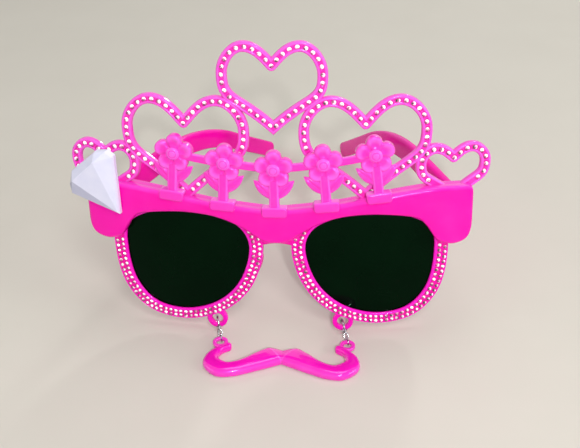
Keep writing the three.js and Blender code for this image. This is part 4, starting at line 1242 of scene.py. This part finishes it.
front = "front"
piece("rims", both_sides(rim), front, ["front_frame"], PINK)
frame_forms = [upper_bar(), bridge(), *both_sides(end_piece)]
piece("frame_bar", frame_forms, front, ["front_frame"], PINK)
piece("nose_pads", both_sides(nose_pad), front, ["front_frame"], PINK)
piece("rim_loops", both_sides(rim_loop), front, ["front_frame"], PINK)
piece("brow_cover", [brow_bar()], front, ["brow_bar"], DEEP_PINK)
piece("tiara_hearts", tiara(), front, ["heart_tiara"], LIGHT_PINK)
piece("flowers", crest(), front, ["flower_crest"], LIGHT_PINK)
finish_node("gem", PEARL, 0.18)
rim_places = np.vstack([rim_stones() * (side, 1, 1) for side in (1, -1)])
heart_places = heart_stones()
stone_forms = [
    brilliants(rim_places, RIM_STONE, RIM_STONE_HEIGHT, RIM_DULLEST),
    brilliants(heart_places, HEART_STONE, HEART_STONE_HEIGHT, HEART_DULLEST),
]
piece("stones", stone_forms, front, [], STONE, crease=1)
cup_forms = [cups(rim_places, RIM_STONE), cups(heart_places, HEART_STONE)]
piece("stone_cups", cup_forms, front, [], CUP_PINK)
for side, name in ((1, "right"), (-1, "left")):
    piece(f"{name}_dark_lens", [lens(side)], front, [f"{name}_lens"], LENS_GREEN)
    piece(f"{name}_arm", [temple(side)], f"{name}_temple_arm", [f"{name}_temple"], ARM_PINK)
    ring = f"{name}_jump_ring"
    piece(f"{name}_wire_ring", [jump_ring(ring)], f"{name}_ring", [ring], CHROME)
    for order in (1, 2, 3, 4):
        link = f"{name}_link_{order}"
        piece(f"{name}_wire_link_{order}", [chain_link(side, order)], link, [link], CHROME)
    for node in (f"{name}_front_hinge_leaf", f"{name}_hinge_screw", f"{name}_temple_hinge_leaf"):
        finish_node(node, CHROME, 0.1)
moustache_forms = [moustache_body(), eyelet(eyelet_left), eyelet(eyelet_right)]
piece("glossy_moustache", moustache_forms, "moustache", ["moustache"], MAGENTA)


# Floor, light and camera

def floor():
    """One large square of pale board just under the glasses."""
    finish = Finish("pale_floor", Roughness=0.9, Specular_IOR_Level=0.1)
    grain = finish.noise(40.0, 4.0)
    material = finish.set(Base_Color=finish.mix(grain, (0.66, 0.63, 0.56), (0.70, 0.67, 0.60)))
    reach = 3.0
    mesh = bpy.data.meshes.new("floor")
    corners = [(x * reach, y * reach, -0.1 * MM) for x, y in ((-1, -1), (1, -1), (1, 1), (-1, 1))]
    mesh.from_pydata(corners, [], [(0, 1, 2, 3)])
    mesh.materials.append(material)
    ground = bpy.data.objects.new("floor", mesh)
    bpy.context.scene.collection.objects.link(ground)


def softbox(name, place, target, size, level):
    """Area lamp whose level is the brightness that it alone gives a white surface at the target."""
    lamp = bpy.data.lights.new(name, "AREA")
    lamp.shape = "DISK"
    lamp.size = size
    reach = Vector(target) - Vector(place)
    lamp.energy = level * math.pi**2 * reach.length**2
    holder = bpy.data.objects.new(name, lamp)
    holder.matrix_world = Matrix.Translation(place) @ reach.to_track_quat("-Z", "Y").to_matrix().to_4x4()
    bpy.context.scene.collection.objects.link(holder)


def surroundings():
    """Plain world: a soft even light on surfaces, and pale where it is seen or mirrored."""
    world = bpy.data.worlds.new("studio")
    world.use_nodes = True
    sky = Nodes(world.node_tree)
    light = sky.own("BACKGROUND")
    sky.plug(light.inputs["Color"], AMBIENT)
    seen = sky.node("ShaderNodeBackground", Color=PALE)
    share = sky.node("ShaderNodeLightPath", output="Is Camera Ray")
    for ray in ("Is Glossy Ray", "Is Transmission Ray"):
        path = sky.node("ShaderNodeLightPath", output=ray)
        share = sky.node("ShaderNodeMath", {"operation": "MAXIMUM"}, share, path)
    blend = sky.node("ShaderNodeMixShader", {}, share, Wire(sky, light.outputs[0]), seen)
    sky.plug(sky.own("OUTPUT_WORLD").inputs["Surface"], blend)
    bpy.context.scene.world = world


# Camera as fitted to the photograph, in the upright front's own frame: yaw to the viewer's right,
# elevation, roll, distance and focal length in pixels of a 580 pixel wide picture.
CAMERA_YAW = math.radians(6.01)
CAMERA_RISE = math.radians(24.69)
CAMERA_ROLL = math.radians(-1.53)
CAMERA_DISTANCE = 400.0
CAMERA_FOCAL = 1049.1
CAMERA_TARGET = (5.32, 0.0, 48.48)
PICTURE_WIDTH = 580
SENSOR = 36.0


def camera():
    """Camera at its distance from the target, on the line of the yaw and the elevation, and rolled."""
    view = np.array([
        -math.sin(CAMERA_YAW) * math.cos(CAMERA_RISE), math.cos(CAMERA_YAW) * math.cos(CAMERA_RISE),
        -math.sin(CAMERA_RISE),
    ])
    right = np.array([math.cos(CAMERA_YAW), math.sin(CAMERA_YAW), 0.0])
    up = np.cross(right, view)
    cos, sin = math.cos(CAMERA_ROLL), math.sin(CAMERA_ROLL)
    right, up = right * cos + up * sin, up * cos - right * sin
    place = (leaned(np.array(CAMERA_TARGET) - view * CAMERA_DISTANCE) + FRONT_ORIGIN) * MM
    axes = np.stack([leaned(right), leaned(up), -leaned(view)], axis=1)
    lens_data = bpy.data.cameras.new("camera")
    lens_data.sensor_width = SENSOR
    lens_data.lens = CAMERA_FOCAL / PICTURE_WIDTH * SENSOR
    lens_data.clip_start, lens_data.clip_end = 0.01, 20.0
    holder = bpy.data.objects.new("camera", lens_data)
    turned = np.eye(4)
    turned[:3, :3], turned[:3, 3] = axes, place
    holder.matrix_world = Matrix(turned.tolist())
    bpy.context.scene.collection.objects.link(holder)
    bpy.context.scene.camera = holder


floor()
surroundings()
middle_of_front = (0.0, -0.03, 0.05)
softbox("key", (0.25, -0.75, 0.90), middle_of_front, 0.30, 0.24)
softbox("right", (0.85, -0.25, 0.40), middle_of_front, 0.50, 0.26)
softbox("left", (-0.85, -0.25, 0.40), middle_of_front, 0.50, 0.07)
softbox("top", (0.10, 0.20, 1.10), middle_of_front, 0.60, 0.20)
softbox("flash", (0.16, -0.80, 0.55), middle_of_front, 0.05, 0.42)
softbox("back", (0.30, 0.85, 0.50), middle_of_front, 0.12, 0.16)
camera()
bpy.context.scene.view_settings.view_transform = "Standard"
